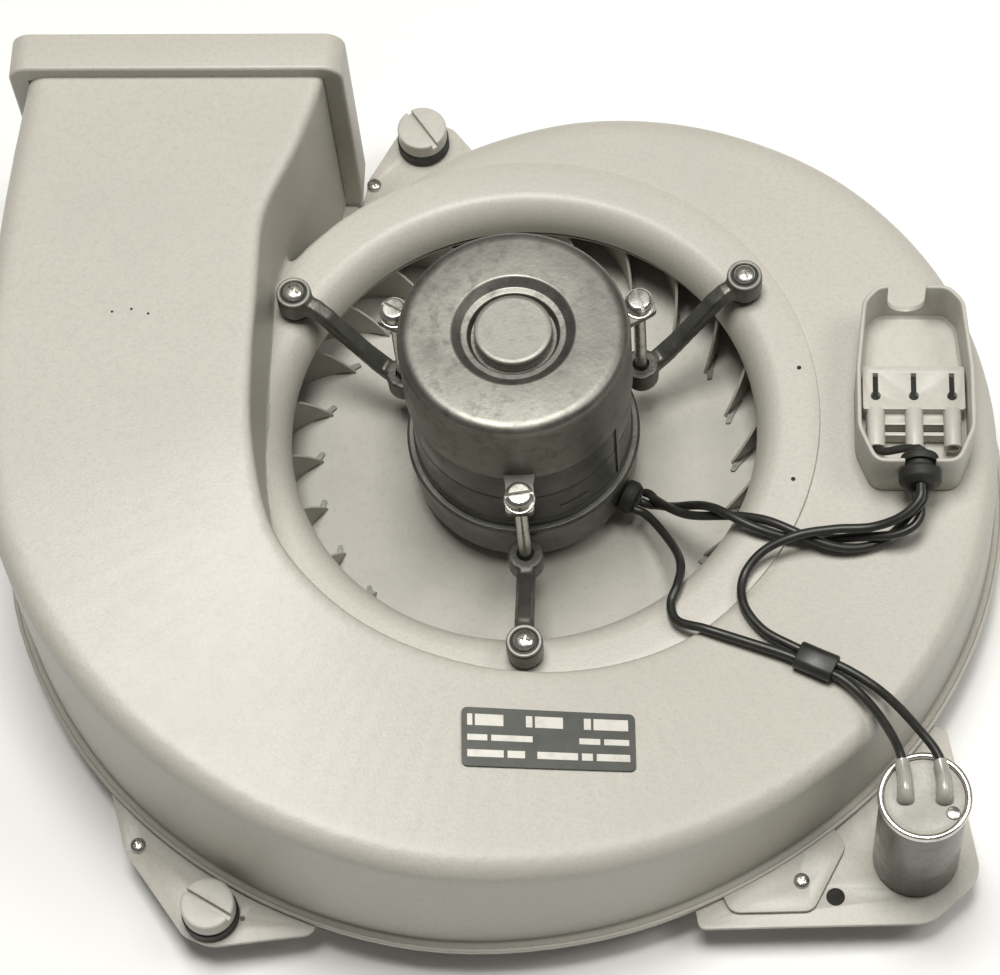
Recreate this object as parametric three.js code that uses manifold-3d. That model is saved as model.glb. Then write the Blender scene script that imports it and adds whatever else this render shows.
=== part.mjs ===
// Single-inlet centrifugal blower: sheet-metal scroll, outside motor on three
// cast arms, impeller, terminal box, run capacitor and wiring.
// Millimetres, +Z along the motor shaft, origin on the shaft at the back face.
import * as THREE from 'three';
import { mergeVertices } from 'three/addons/utils/BufferGeometryUtils.js';
import Module from 'manifold-3d';

const wasm = await Module();
wasm.setup();

// ---------------------------------------------------------------- dimensions
const SHEET = 1.5;            // housing sheet thickness
const GAP = 0.3;              // gap left between touching pieces
const BACK_HEIGHT = 13.5;     // height of the back cover
const PLATE_BOTTOM = BACK_HEIGHT + GAP;
const PLATE_TOP = PLATE_BOTTOM + SHEET;
const SHELL_BOTTOM = PLATE_TOP + GAP;
const RING_LEVEL = 56;        // flat front of the scroll round the inlet
const RAISE = 42;             // how far the spiral face climbs above it
const FLANGE = 4;             // width of the shell's flange
const SCROLL_CORNER = 8;      // outside corner of the drawn shell
const STEP_CORNER = 3;        // inside corner of the raised face
const OUTLET_END = 121;       // Y of the duct's mouth
const COLLAR_START = 107.5;   // Y where the collar begins

const THROAT_RADIUS = 78.3;
const THROAT_EDGE = 45;       // height of the nozzle's inner edge
const SHELL_OPENING = 84.5;   // radius cut in the shell under the inlet ring
const RING_RADIUS = 99;

const ARM_CIRCLE = 87.7;      // arm screws
const BOLT_CIRCLE = 46.5;     // long motor bolts
const ARM_ANGLES = [32.6, 152.6, -87.4];
const EYE_RADIUS = 6.1;
const BOLT_HEAD_LEVEL = 87;

const CAPACITOR = new THREE.Vector2(129.6, -139.3);
const CAPACITOR_TOP = 70;
const KNOBS = { top: [-41.7, 132.9], left: [-98, -162.2] };
const EAR_SCREWS = [[-59, 115.7], [-124, -138.5], [92.9, -148.4]];
const MOUNT_HOLE = [103.8, -153];
const BOX_CENTRE = 129.5;     // X of the terminal box

// ------------------------------------------------------------------ finishes
const finish = (color, roughness, metalness) => ({ color, roughness, metalness });
const PAINT = finish(0xd6d3c8, 0.45, 0.0);
const PALE_SHEET = finish(0xbcbab0, 0.5, 0.3);
const CAN_METAL = finish(0xbdbbb2, 0.4, 0.7);
const DARK_IRON = finish(0x4a4b44, 0.55, 0.5);
const CAST_ARM = finish(0x4a4a42, 0.5, 0.6);
const BRIGHT_STEEL = finish(0xd8d6cd, 0.25, 0.95);
const GREY_STEEL = finish(0x8b8b85, 0.4, 0.8);
const BLACK_RUBBER = finish(0x20221d, 0.8, 0.0);
const WHITE_PLASTIC = finish(0xd9d7cc, 0.5, 0.0);
const PLATE_PAINT = finish(0x63645a, 0.45, 0.2);

// ------------------------------------------------------------------- helpers
const rad = THREE.MathUtils.degToRad;

const polar = (radius, degrees) => new THREE.Vector2(
  radius * Math.cos(rad(degrees)),
  radius * Math.sin(rad(degrees)),
);

function toSolid(geometry) {
  const bare = new THREE.BufferGeometry();
  bare.setAttribute('position', geometry.getAttribute('position'));
  if (geometry.index) bare.setIndex(geometry.index);
  const merged = mergeVertices(bare, 1e-4);
  return new wasm.Manifold(new wasm.Mesh({
    numProp: 3,
    vertProperties: new Float32Array(merged.getAttribute('position').array),
    triVerts: new Uint32Array(merged.index.array),
  }));
}

function toGeometry(solid) {
  const mesh = solid.getMesh();
  const geometry = new THREE.BufferGeometry();
  geometry.setAttribute('position', new THREE.BufferAttribute(mesh.vertProperties, 3));
  geometry.setIndex(new THREE.BufferAttribute(mesh.triVerts, 1));
  geometry.computeVertexNormals();
  return geometry;
}

const union = (first, ...others) => others.reduce((sum, part) => sum.add(part), first);
const cut = (first, ...others) => others.reduce((rest, part) => rest.subtract(part), first);

// A solid of revolution about Z from (radius, height) pairs.
function turned(profile, segments = 40, centre = [0, 0]) {
  const points = profile.map(([radius, height]) => new THREE.Vector2(radius, height));
  const onAxis = profile[0][0] === 0 && profile.at(-1)[0] === 0;
  if (!onAxis) points.push(points[0].clone());
  const geometry = new THREE.LatheGeometry(points, segments);
  geometry.rotateX(Math.PI / 2);
  geometry.translate(centre[0], centre[1], 0);
  const solid = toSolid(geometry);
  return solid.volume() < 0 ? toSolid(flipped(geometry)) : solid;
}

function flipped(geometry) {
  const copy = mergeVertices(geometry.clone(), 1e-4);
  copy.index.array.reverse();
  return copy;
}

// A plain cylinder standing on Z.
const post = (x, y, radius, low, high, segments = 24) =>
  turned([[0, low], [radius, low], [radius, high], [0, high]], segments, [x, y]);

// A flat outline of [x, y] pairs or Vector2 raised from low to high.
function raised(outline, low, high) {
  const point = (p) => (p.isVector2 ? p : new THREE.Vector2(p[0], p[1]));
  const shape = new THREE.Shape(outline.map(point));
  const geometry = new THREE.ExtrudeGeometry(shape, { depth: high - low, bevelEnabled: false });
  geometry.translate(0, 0, low);
  return toSolid(geometry);
}

function box(low, high) {
  const size = new THREE.Vector3(...high).sub(new THREE.Vector3(...low));
  const geometry = new THREE.BoxGeometry(size.x, size.y, size.z);
  geometry.translate(low[0] + size.x / 2, low[1] + size.y / 2, low[2] + size.z / 2);
  return toSolid(geometry);
}

// Joins matching closed rings of points into one solid; the rings are convex.
function loft(rings) {
  const count = rings[0].length;
  const positions = rings.flat().flatMap((p) => [p.x, p.y, p.z]);
  const faces = [];
  for (let i = 0; i + 1 < rings.length; i += 1) {
    for (let j = 0; j < count; j += 1) {
      const a = i * count + j;
      const b = i * count + ((j + 1) % count);
      faces.push(a, b, b + count, a, b + count, a + count);
    }
  }
  const last = (rings.length - 1) * count;
  for (let j = 1; j + 1 < count; j += 1) {
    faces.push(0, j + 1, j, last, last + j, last + j + 1);
  }
  const geometry = new THREE.BufferGeometry();
  geometry.setAttribute('position', new THREE.Float32BufferAttribute(positions, 3));
  geometry.setIndex(faces);
  const solid = toSolid(geometry);
  if (solid.volume() > 0) return solid;
  geometry.setIndex(faces.reverse());
  return toSolid(geometry);
}

// A round tube along hand-placed points.
function tube(points, radius, steps, sides = 8) {
  const curve = new THREE.CatmullRomCurve3(points.map((p) => new THREE.Vector3(...p)));
  return tubeAlong(curve, radius, steps, sides);
}

function tubeAlong(curve, radius, steps, sides) {
  const section = new THREE.Shape();
  for (let i = 0; i < sides; i += 1) {
    const corner = polar(radius, (360 * i) / sides);
    if (i === 0) section.moveTo(corner.x, corner.y);
    else section.lineTo(corner.x, corner.y);
  }
  return new THREE.ExtrudeGeometry(section, { steps, extrudePath: curve, bevelEnabled: false });
}

const group = new THREE.Group();
group.name = 'centrifugal_blower';

function add(name, shape, look) {
  const geometry = shape.isBufferGeometry ? shape : toGeometry(shape);
  const mesh = new THREE.Mesh(geometry, new THREE.MeshStandardMaterial(look));
  mesh.name = name;
  group.add(mesh);
  return mesh;
}

// ------------------------------------------------------------ scroll outline
// Outer wall radius and inner edge of the spiral face, every so many degrees
// clockwise from the tongue.
const SCROLL = [
  [118, 102, 85], [100, 111, 85], [80, 122, 85], [60, 133, 85], [40, 144, 85],
  [20, 152.5, 85], [0, 157.5, 99.5], [-20, 160, 99.5], [-40, 161.5, 99.5],
  [-60, 163, 99.5], [-80, 167, 99.5], [-100, 171.5, 99.5], [-120, 174, 99.5],
  [-140, 176, 96.8], [-160, 177, 89], [-180, 176, 85.8],
];
// Then the duct: Y, its inner wall's X and its outer wall's X.
const DUCT = [
  [28, -85.8, -175.5], [54, -84.4, -174.5], [80, -76, -173], [104, -69.5, -171],
  [OUTLET_END, -66.5, -170],
];
const TONGUE = SCROLL[0][0];
const RAMP_START = 135;       // turn from the tongue where the face starts to climb
const RAMP_END = 290;

function faceHeight(degrees) {
  const turn = (TONGUE - degrees + 360) % 360;
  return RING_LEVEL + RAISE * THREE.MathUtils.smoothstep(turn, RAMP_START, RAMP_END);
}

const innerPoints = [];
const outerPoints = [];
for (const [degrees, outer, inner] of SCROLL) {
  const top = faceHeight(degrees);
  const a = polar(inner, degrees);
  const b = polar(outer, degrees);
  innerPoints.push(new THREE.Vector3(a.x, a.y, top));
  outerPoints.push(new THREE.Vector3(b.x, b.y, top));
}
for (const [y, innerX, outerX] of DUCT) {
  innerPoints.push(new THREE.Vector3(innerX, y, RING_LEVEL + RAISE));
  outerPoints.push(new THREE.Vector3(outerX, y, RING_LEVEL + RAISE));
}
const innerCurve = new THREE.CatmullRomCurve3(innerPoints, false, 'catmullrom', 0.5);
const outerCurve = new THREE.CatmullRomCurve3(outerPoints, false, 'catmullrom', 0.5);
const SPLITS = 2;
const STATION_COUNT = (innerPoints.length - 1) * SPLITS;
const DUCT_STATION = (SCROLL.length - 1) * SPLITS;

// One station of the scroll: its inner and outer points and the unit vector between.
const stations = [];
for (let i = 0; i <= STATION_COUNT; i += 1) {
  const inner = innerCurve.getPoint(i / STATION_COUNT);
  const outer = outerCurve.getPoint(i / STATION_COUNT);
  const across = new THREE.Vector3(outer.x - inner.x, outer.y - inner.y, 0);
  stations.push({ inner, outer, width: across.length(), across: across.normalize() });
}

// The rounded section of the scroll at one station, drawn inset by the sheet.
function section(station, inset, bottom) {
  const { inner, width, across } = station;
  const low = inset;
  const high = width - inset;
  const top = inner.z - inset;
  const corner = SCROLL_CORNER - inset;
  const step = Math.max(STEP_CORNER + inset, 1);
  const flat = [[low, bottom], [low, top - step]];
  flat.push([low + step * 0.3, top - step * 0.3], [low + step, top]);
  for (const turn of [0, 30, 60, 90]) {
    const s = Math.sin(rad(turn));
    const c = Math.cos(rad(turn));
    flat.push([high - corner + corner * s, top - corner + corner * c]);
  }
  flat.push([high + 1, bottom]);
  return flat.map(([along, z]) => new THREE.Vector3(
    inner.x + across.x * along,
    inner.y + across.y * along,
    z,
  ));
}

function scrollSweep(inset, bottom, extra = 0, first = 0) {
  const rings = stations.slice(first).map((station) => section(station, inset, bottom));
  if (extra > 0) {
    const shift = new THREE.Vector3(0, extra, 0);
    rings.push(rings.at(-1).map((p) => p.clone().add(shift)));
  }
  return loft(rings);
}

// Carries the scroll's start round the ring to the duct's inner wall, at ring level.
const TONGUE_FILL = [
  [-44, 86], polar(101.9, 117.2), polar(102, 124), polar(102, 131), polar(102.6, 137),
  polar(104.2, 143), [-86, 50], [-60, 50],
];
const TONGUE_VOID = [
  [-43, 82], polar(100.1, 117.6), polar(100.4, 124), polar(100.4, 131), polar(100.6, 136),
  polar(98, 141), [-90, 50], [-60, 48],
];

function outlineOffset(offset, first = 0, last = STATION_COUNT) {
  return stations.slice(first, last + 1).map(({ outer, across }) => new THREE.Vector2(
    outer.x + across.x * offset,
    outer.y + across.y * offset,
  ));
}

// ------------------------------------------------------------------- housing
function scrollShell() {
  const skin = union(
    scrollSweep(0, SHELL_BOTTOM),
    post(0, 0, 100.5, SHELL_BOTTOM, RING_LEVEL, 48),
    raised(TONGUE_FILL, SHELL_BOTTOM, RING_LEVEL),
  );
  const below = SHELL_BOTTOM - 5;
  const inside = union(
    scrollSweep(SHEET, below, 6),
    post(0, 0, 99, below, RING_LEVEL - SHEET, 48),
    cut(
      post(0, 0, 104, below, RING_LEVEL - SHEET, 48),
      box([-110, 52, below - 1], [110, 110, RING_LEVEL]),
    ),
    raised(TONGUE_VOID, below, RING_LEVEL - SHEET),
  );
  const flangeRings = stations.filter(({ outer }) => outer.y < COLLAR_START - 1 || outer.x > 0)
    .map(({ outer, across }) => [[-1.2, 0], [FLANGE, 0], [FLANGE, SHEET], [-1.2, SHEET]]
      .map(([along, up]) => new THREE.Vector3(
        outer.x + across.x * along,
        outer.y + across.y * along,
        SHELL_BOTTOM + up,
      )));
  const opening = post(0, 0, SHELL_OPENING, RING_LEVEL - 6, RING_LEVEL + 6, 48);
  const holes = ARM_ANGLES.map((degrees) => {
    const centre = polar(ARM_CIRCLE, degrees);
    return post(centre.x, centre.y, 2.2, RING_LEVEL - 6, RING_LEVEL + 6, 12);
  });
  return cut(union(cut(skin, inside), loft(flangeRings)), opening, ...holes);
}

function outletCollar() {
  const left = -176.5;
  const right = -62;
  const low = PLATE_BOTTOM + 0.2;
  const high = 103;
  const depth = 14.5;
  const frame = (margin) => {
    const r = 6 - margin;
    const x0 = left + margin;
    const x1 = right - margin;
    const z0 = low + margin;
    const z1 = high - margin;
    const corners = [[x1 - r, z1 - r, 0], [x0 + r, z1 - r, 90], [x0 + r, z0 + r, 180],
      [x1 - r, z0 + r, 270]];
    return corners.flatMap(([x, z, start]) => [0, 30, 60, 90].map((turn) => {
      const corner = polar(r, start + turn);
      return new THREE.Vector2(x + corner.x, -(z + corner.y));
    }));
  };
  const alongY = (outline, from, to) => raised(outline, from, to)
    .rotate([-90, 0, 0]);
  const ring = cut(
    alongY(frame(0), COLLAR_START, COLLAR_START + depth),
    alongY(frame(SHEET), COLLAR_START + SHEET, COLLAR_START + depth + 1),
  );
  const duct = scrollSweep(-0.4, PLATE_BOTTOM + 0.5, 3, DUCT_STATION);
  return cut(ring, duct);
}

function inletRing() {
  const flat = RING_LEVEL + GAP;
  const skin = 1.2;
  const lip = 84;
  const reach = lip - THROAT_RADIUS;
  const drop = flat + skin - THROAT_EDGE;
  const upper = [];
  const lower = [];
  for (const turn of [0, 30, 60, 90]) {
    const s = Math.sin(rad(turn));
    const c = Math.cos(rad(turn));
    upper.push([lip - reach * s, THROAT_EDGE + drop * c]);
    lower.unshift([lip - (reach - skin) * s, THROAT_EDGE + (drop - skin) * c]);
  }
  const profile = [[RING_RADIUS, flat + skin], ...upper, ...lower, [RING_RADIUS, flat]];
  const raisedPart = scrollSweep(-0.5, RING_LEVEL - 8, 0, Math.floor(DUCT_STATION * 0.55));
  const holes = ARM_ANGLES.map((degrees) => {
    const centre = polar(ARM_CIRCLE, degrees);
    return post(centre.x, centre.y, 2.2, flat - 2, flat + 4, 12);
  });
  return cut(turned(profile, 48), raisedPart, ...holes);
}

function earStrip(points) {
  return raised(points, PLATE_BOTTOM, PLATE_TOP);
}

function mountingPlate() {
  const outline = outlineOffset(FLANGE).filter((p) => p.y < COLLAR_START - 1 || p.x > 0);
  outline.push(new THREE.Vector2(-175, COLLAR_START - GAP));
  outline.push(new THREE.Vector2(-65, COLLAR_START - GAP));
  const body = raised(outline, PLATE_BOTTOM, PLATE_TOP);
  const topEar = union(
    earStrip([[-67, 94], [-64, 107], [-61.5, 107.2], [-61.5, 118], [-50.6, 139], [-33, 139],
      [-14, 118], [-30, 90]]),
    post(KNOBS.top[0], KNOBS.top[1], 11, PLATE_BOTTOM, PLATE_TOP, 20),
  );
  const leftEar = union(
    earStrip([[-137, -112], [-128, -141], [-107, -169], [-98, -172.6], [-64, -168],
      [-70, -140]]),
    post(KNOBS.left[0], KNOBS.left[1], 10.8, PLATE_BOTTOM, PLATE_TOP, 20),
  );
  const rightEar = union(
    earStrip([[56, -150], [60, -164.5], [134, -161.5], [151, -142], [140, -95],
      [100, -110]]),
    post(135, -146, 16, PLATE_BOTTOM, PLATE_TOP, 20),
  );
  const through = (x, y, radius) => post(x, y, radius, PLATE_BOTTOM - 1, PLATE_TOP + 1, 12);
  return cut(
    union(body, topEar, leftEar, rightEar),
    post(0, 0, 60, PLATE_BOTTOM - 1, PLATE_TOP + 1, 32),
    through(...KNOBS.top, 3.3),
    through(...KNOBS.left, 3.3),
    through(...MOUNT_HOLE, 3),
    through(-87.9, -163, 0.9),
    through(CAPACITOR.x, CAPACITOR.y, 4.3),
    ...EAR_SCREWS.map(([x, y]) => through(x, y, 1.9)),
  );
}

function backCover() {
  const rim = outlineOffset(-0.5, 0, DUCT_STATION);
  const cavity = outlineOffset(-0.5 - SHEET, 0, DUCT_STATION);
  return cut(raised(rim, 0, BACK_HEIGHT), raised(cavity, SHEET, BACK_HEIGHT + 1));
}

// ------------------------------------------------------------------ impeller
const DISC_INNER = 20;        // height of the disc's underside at the hub
const DISC_OUTER = 22.5;
const DISC_SHEET = 1.2;
const BLADE_COUNT = 24;
const BLADE_TOP = 42;
const BLADE_IN = 70;
const BLADE_OUT = 92;

function impellerDisc() {
  return turned([
    [4.3, DISC_INNER], [44, DISC_INNER], [93, DISC_OUTER],
    [93, DISC_OUTER + DISC_SHEET], [44, DISC_INNER + DISC_SHEET], [4.3, DISC_INNER + DISC_SHEET],
  ], 40);
}

// Backward-leaning blades hung from the shroud ring.
function impellerBlades() {
  const half = 0.6;
  const inner = polar(BLADE_IN, 0);
  const outer = polar(BLADE_OUT, 18);
  const bow = polar(83, 8);
  const normal = new THREE.Vector2(outer.y - inner.y, inner.x - outer.x).normalize();
  const path = [inner, bow, outer];
  const side = (sign) => path.map((p) => p.clone().addScaledVector(normal, sign * half));
  const outline = [...side(1), ...side(-1).reverse()];
  const low = DISC_OUTER + DISC_SHEET + 0.4;
  const blade = raised(outline, low, BLADE_TOP);
  const shroud = turned([
    [80, BLADE_TOP + 0.4], [93, BLADE_TOP - 2.4], [93, BLADE_TOP - 1.2], [80, BLADE_TOP + 1.6],
  ], 48);
  const trim = turned([
    [60, BLADE_TOP + 3], [79.9, BLADE_TOP + 1.2], [93, BLADE_TOP - 1.6], [95, BLADE_TOP + 3],
  ], 48);
  let cage = shroud;
  for (let i = 0; i < BLADE_COUNT; i += 1) {
    cage = cage.add(cut(blade.rotate([0, 0, (360 * i) / BLADE_COUNT]), trim));
  }
  return cage;
}

const impellerBush = () => turned([
  [4.3, 9.5], [9, 9.5], [9, 16], [16, 16], [16, DISC_INNER - GAP], [4.3, DISC_INNER - GAP],
], 28);

// --------------------------------------------------------------------- motor
const CAN_RADIUS = 37.5;
const CAN_TOP = 115;
const CAN_RIM = 83.8;

function motorCan() {
  const r = CAN_RADIUS;
  const skin = turned([
    [r, CAN_RIM], [r, CAN_TOP - 5], [r - 0.8, CAN_TOP - 2], [r - 3, CAN_TOP],
    [20.5, CAN_TOP], [20, CAN_TOP - 2.6], [17.2, CAN_TOP - 2.6], [16.8, CAN_TOP - 0.9],
    [13.4, CAN_TOP - 0.9], [13.4, CAN_TOP - 12], [11.3, CAN_TOP - 12],
    [11.3, CAN_TOP - 4.4], [r - 3.6, CAN_TOP - 4.4], [r - 1.6, CAN_TOP - 6], [r - 1.6, CAN_RIM],
  ], 36);
  const lugs = ARM_ANGLES.map((degrees) => {
    const centre = polar(BOLT_CIRCLE, degrees);
    const bar = box([r - 0.8, -5, CAN_RIM], [BOLT_CIRCLE, 5, BOLT_HEAD_LEVEL - GAP])
      .rotate([0, 0, degrees]);
    return union(bar, post(centre.x, centre.y, 5, CAN_RIM, BOLT_HEAD_LEVEL - GAP, 20));
  });
  const holes = ARM_ANGLES.map((degrees) => {
    const centre = polar(BOLT_CIRCLE, degrees);
    return post(centre.x, centre.y, 2.6, CAN_RIM - 1, BOLT_HEAD_LEVEL + 1, 16);
  });
  return cut(union(skin, ...lugs), ...holes);
}

const bearingCap = () => turned([
  [0, CAN_TOP - 3.4], [12.6, CAN_TOP - 3.4], [12.6, CAN_TOP - 0.6], [11.6, CAN_TOP + 0.4],
  [0, CAN_TOP + 0.4],
], 32);

const SHIELD_TOP = 48;
const stator = () => turned([
  [24.2, SHIELD_TOP + GAP], [36.6, SHIELD_TOP + GAP], [36.6, CAN_RIM - GAP],
  [35.4, CAN_RIM - GAP], [35.4, 92], [24.2, 92],
], 32);

function lowerShield() {
  const cup = turned([
    [5, 24], [30, 24], [36, 26.5], [38, 31], [38, SHIELD_TOP - 4], [40.2, SHIELD_TOP - 4],
    [40.2, SHIELD_TOP], [36.4, SHIELD_TOP], [36.4, 32], [34.8, 28], [30, 25.6],
    [13.4, 25.6], [13.4, 34], [11.3, 34], [11.3, 25.6], [5, 25.6],
  ], 32);
  const port = toSolid(new THREE.CylinderGeometry(3.6, 3.6, 12, 16))
    .rotate([0, 0, 90])
    .translate([38, 0, GROMMET_LEVEL])
    .rotate([0, 0, GROMMET_ANGLE]);
  return cut(cup, port);
}

const bearing = (low) => turned([[4.3, low], [11, low], [11, low + 7], [4.3, low + 7]], 28);
const motorShaft = () => turned([[0, 8], [4, 8], [4, CAN_TOP - 4.2], [0, CAN_TOP - 4.2]], 20);
const rotorCore = () => turned([[4.3, 42], [23.6, 42], [23.6, 96], [4.3, 96]], 32);

function motorBolt(degrees) {
  const centre = polar(BOLT_CIRCLE, degrees);
  const [x, y] = [centre.x, centre.y];
  const body = turned([
    [0, 35], [2.2, 35], [2.2, BOLT_HEAD_LEVEL], [4.6, BOLT_HEAD_LEVEL],
    [4.6, BOLT_HEAD_LEVEL + 3.6], [3.8, BOLT_HEAD_LEVEL + 4.6], [0, BOLT_HEAD_LEVEL + 4.6],
  ], 20, [x, y]);
  const slot = box([x - 6, y - 0.6, BOLT_HEAD_LEVEL + 3.2], [x + 6, y + 0.6, BOLT_HEAD_LEVEL + 6]);
  return cut(body, slot);
}

// ----------------------------------------------------- arms and their screws
const EYE_LOW = 38;
const EYE_HIGH = 47.5;
const OUTER_LOW = 59.8;
const OUTER_HIGH = 69;

function arm(degrees) {
  const profile = [
    [BOLT_CIRCLE, EYE_LOW], [56, EYE_LOW + 2.5], [78, OUTER_LOW], [ARM_CIRCLE, OUTER_LOW],
    [ARM_CIRCLE, OUTER_HIGH - 1.5], [79, OUTER_HIGH - 1.5], [73, OUTER_HIGH - 5],
    [54, EYE_HIGH], [BOLT_CIRCLE, EYE_HIGH],
  ];
  const halfWidth = 3.4;
  const bar = raised(profile, -halfWidth, halfWidth).rotate([90, 0, 0]);
  const eyes = union(
    bar,
    post(BOLT_CIRCLE, 0, EYE_RADIUS, EYE_LOW, EYE_HIGH, 24),
    post(ARM_CIRCLE, 0, EYE_RADIUS, OUTER_LOW, OUTER_HIGH, 24),
  );
  return cut(
    eyes,
    post(BOLT_CIRCLE, 0, 2.9, EYE_LOW - 1, EYE_HIGH + 1, 16),
    post(ARM_CIRCLE, 0, 4.6, OUTER_LOW - 1, OUTER_HIGH + 1, 20),
  ).rotate([0, 0, degrees]);
}

const RING_TOP = RING_LEVEL + GAP + 1.2;

function armBush(degrees) {
  const centre = polar(ARM_CIRCLE, degrees);
  const low = RING_TOP + GAP;
  return turned([
    [2.3, low], [5.2, low], [5.2, OUTER_LOW - GAP], [4.3, OUTER_LOW - GAP],
    [4.3, OUTER_HIGH - 0.8], [2.3, OUTER_HIGH - 0.8],
  ], 20, [centre.x, centre.y]);
}

// A cross-recessed screw whose head sits on the given level.
function crossScrew(x, y, headLevel, tip, headRadius, shankRadius) {
  const headHeight = headRadius * 0.6;
  const body = turned([
    [0, tip], [shankRadius, tip], [shankRadius, headLevel], [headRadius, headLevel],
    [headRadius * 0.9, headLevel + headHeight * 0.6], [headRadius * 0.5, headLevel + headHeight],
    [0, headLevel + headHeight],
  ], 18, [x, y]);
  const reach = headRadius * 0.6;
  const wide = 0.4;
  const floor = headLevel + headHeight * 0.3;
  const high = headLevel + 5;
  return cut(
    body,
    box([x - reach, y - wide, floor], [x + reach, y + wide, high]),
    box([x - wide, y - reach, floor], [x + wide, y + reach, high]),
  );
}

// -------------------------------------------------------------- terminal box
const BOX_LOW = RING_LEVEL + GAP;
const BOX_HIGH = 77;
const BOX_END = -27;          // Y of the wall that holds the cable gland
const BOX_TOP_END = 39;

function boxOutline(margin) {
  const shape = new THREE.Shape();
  const half = 19.2 - margin;
  const narrow = 13.8 - margin;
  const low = BOX_END + margin;
  const high = BOX_TOP_END - margin;
  shape.moveTo(-narrow + 3, low);
  shape.lineTo(narrow - 3, low);
  shape.quadraticCurveTo(narrow + 3, low, half - 1, low + 12);
  shape.quadraticCurveTo(half + 0.6, 8, narrow + 3, high - 8);
  shape.quadraticCurveTo(narrow + 2, high, narrow - 3, high);
  shape.lineTo(-narrow + 3, high);
  shape.quadraticCurveTo(-narrow - 2, high, -narrow - 3, high - 8);
  shape.quadraticCurveTo(-half - 0.6, 8, -half + 1, low + 12);
  shape.quadraticCurveTo(-narrow - 3, low, -narrow + 3, low);
  return shape.getPoints(5).map((p) => new THREE.Vector2(p.x + BOX_CENTRE, p.y));
}

const GLAND = { x: 130.5, z: 71 };

function terminalBox() {
  const cup = cut(
    raised(boxOutline(0), BOX_LOW, BOX_HIGH),
    raised(boxOutline(1.6), BOX_LOW + 2, BOX_HIGH + 1),
  );
  const notchX = 127.5;
  const notch = union(
    box([notchX - 6, BOX_TOP_END - 6, 69], [notchX + 6, BOX_TOP_END + 3, BOX_HIGH + 1]),
    toSolid(new THREE.CylinderGeometry(6, 6, 9, 20)).translate([notchX, BOX_TOP_END - 1.5, 69]),
  );
  const seat = union(
    box([GLAND.x - 5, BOX_END - 3, GLAND.z], [GLAND.x + 5, BOX_END + 4, BOX_HIGH + 1]),
    toSolid(new THREE.CylinderGeometry(5, 5, 7, 20)).translate([GLAND.x, BOX_END, GLAND.z]),
  );
  return cut(cup, notch, seat);
}

const TERMINAL_XS = [117, 129.5, 142];

function terminalBlock() {
  const low = BOX_LOW + 2 + GAP;
  const slab = box([112.8, -2, low], [146.2, 14, 66]);
  const web = box([114, -6, low], [144.6, -1, 62.5]);
  const sleeves = TERMINAL_XS.map((x) => toSolid(new THREE.CylinderGeometry(3, 3, 14, 16))
    .translate([x, -8.5, 64]));
  const slots = TERMINAL_XS.map((x) => union(
    post(x, 4, 1.5, 61, 67, 12),
    box([x - 0.8, 4, 61], [x + 0.8, 10.5, 67]),
  ));
  const bores = TERMINAL_XS.map((x) => toSolid(new THREE.CylinderGeometry(1.8, 1.8, 8, 12))
    .translate([x, -13, 64]));
  return cut(union(slab, web, ...sleeves), ...slots, ...bores);
}

function cableGland() {
  const inner = BOX_END + 1.6 + GAP;
  const outer = BOX_END - GAP;
  const length = 6;
  const profile = [
    [0, outer - length], [5.6, outer - length], [7, outer - length + 1.6], [7, outer - 1],
    [6.2, outer], [4.7, outer], [4.7, inner], [6.2, inner], [6.2, inner + 3], [2.6, inner + 3.4],
    [2.6, inner + 5.5], [0, inner + 5.5],
  ];
  const solid = turned(profile, 20);
  return solid.rotate([-90, 0, 0]).translate([GLAND.x, 0, GLAND.z]);
}

// ----------------------------------------------------------------- capacitor
function capacitorCan() {
  const low = PLATE_TOP + GAP;
  const r = 14.2;
  const centre = [CAPACITOR.x, CAPACITOR.y];
  return turned([
    [0, 7], [3.9, 7], [3.9, low], [r - 1.5, low], [r, low + 1.5], [r, CAPACITOR_TOP - 4],
    [r + 0.8, CAPACITOR_TOP - 3], [r + 0.8, CAPACITOR_TOP], [r - 0.6, CAPACITOR_TOP],
    [r - 0.6, CAPACITOR_TOP - 3], [0, CAPACITOR_TOP - 3],
  ], 32, centre);
}

const capacitorLid = () => post(
  CAPACITOR.x,
  CAPACITOR.y,
  13.3,
  CAPACITOR_TOP - 3 + GAP,
  CAPACITOR_TOP - 1,
  28,
);

const capacitorNut = () => cut(
  post(CAPACITOR.x, CAPACITOR.y, 7.5, 8.2, PLATE_BOTTOM - GAP, 6),
  post(CAPACITOR.x, CAPACITOR.y, 4.2, 7, PLATE_TOP, 20),
);

// A tab and its insulating sleeve, leaning back towards the lead.
const TAB_XS = [-6, 6];
function capacitorTab(offset) {
  const base = CAPACITOR_TOP - 1 + GAP;
  const x = CAPACITOR.x + offset;
  return box([x - 2.6, CAPACITOR.y - 2.5, base], [x + 2.6, CAPACITOR.y + 4, base + 5]);
}

// ------------------------------------------------------------ knobs and ears
const BUFFER_LOW = PLATE_TOP + GAP;
const BUFFER_HIGH = BUFFER_LOW + 5;

const buffer = ([x, y]) => turned([
  [3.4, BUFFER_LOW], [9.4, BUFFER_LOW], [9.4, BUFFER_HIGH], [3.4, BUFFER_HIGH],
], 24, [x, y]);

function knob([x, y], slotAngle) {
  const low = BUFFER_HIGH + GAP;
  const high = low + 6.5;
  const body = turned([
    [0, 6], [3, 6], [3, low], [8.8, low], [8.8, high - 0.8], [8, high], [0, high],
  ], 24, [0, 0]);
  const slot = box([-10, -0.9, high - 2.2], [10, 0.9, high + 1]).rotate([0, 0, slotAngle]);
  return cut(body, slot).translate([x, y, 0]);
}

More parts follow.
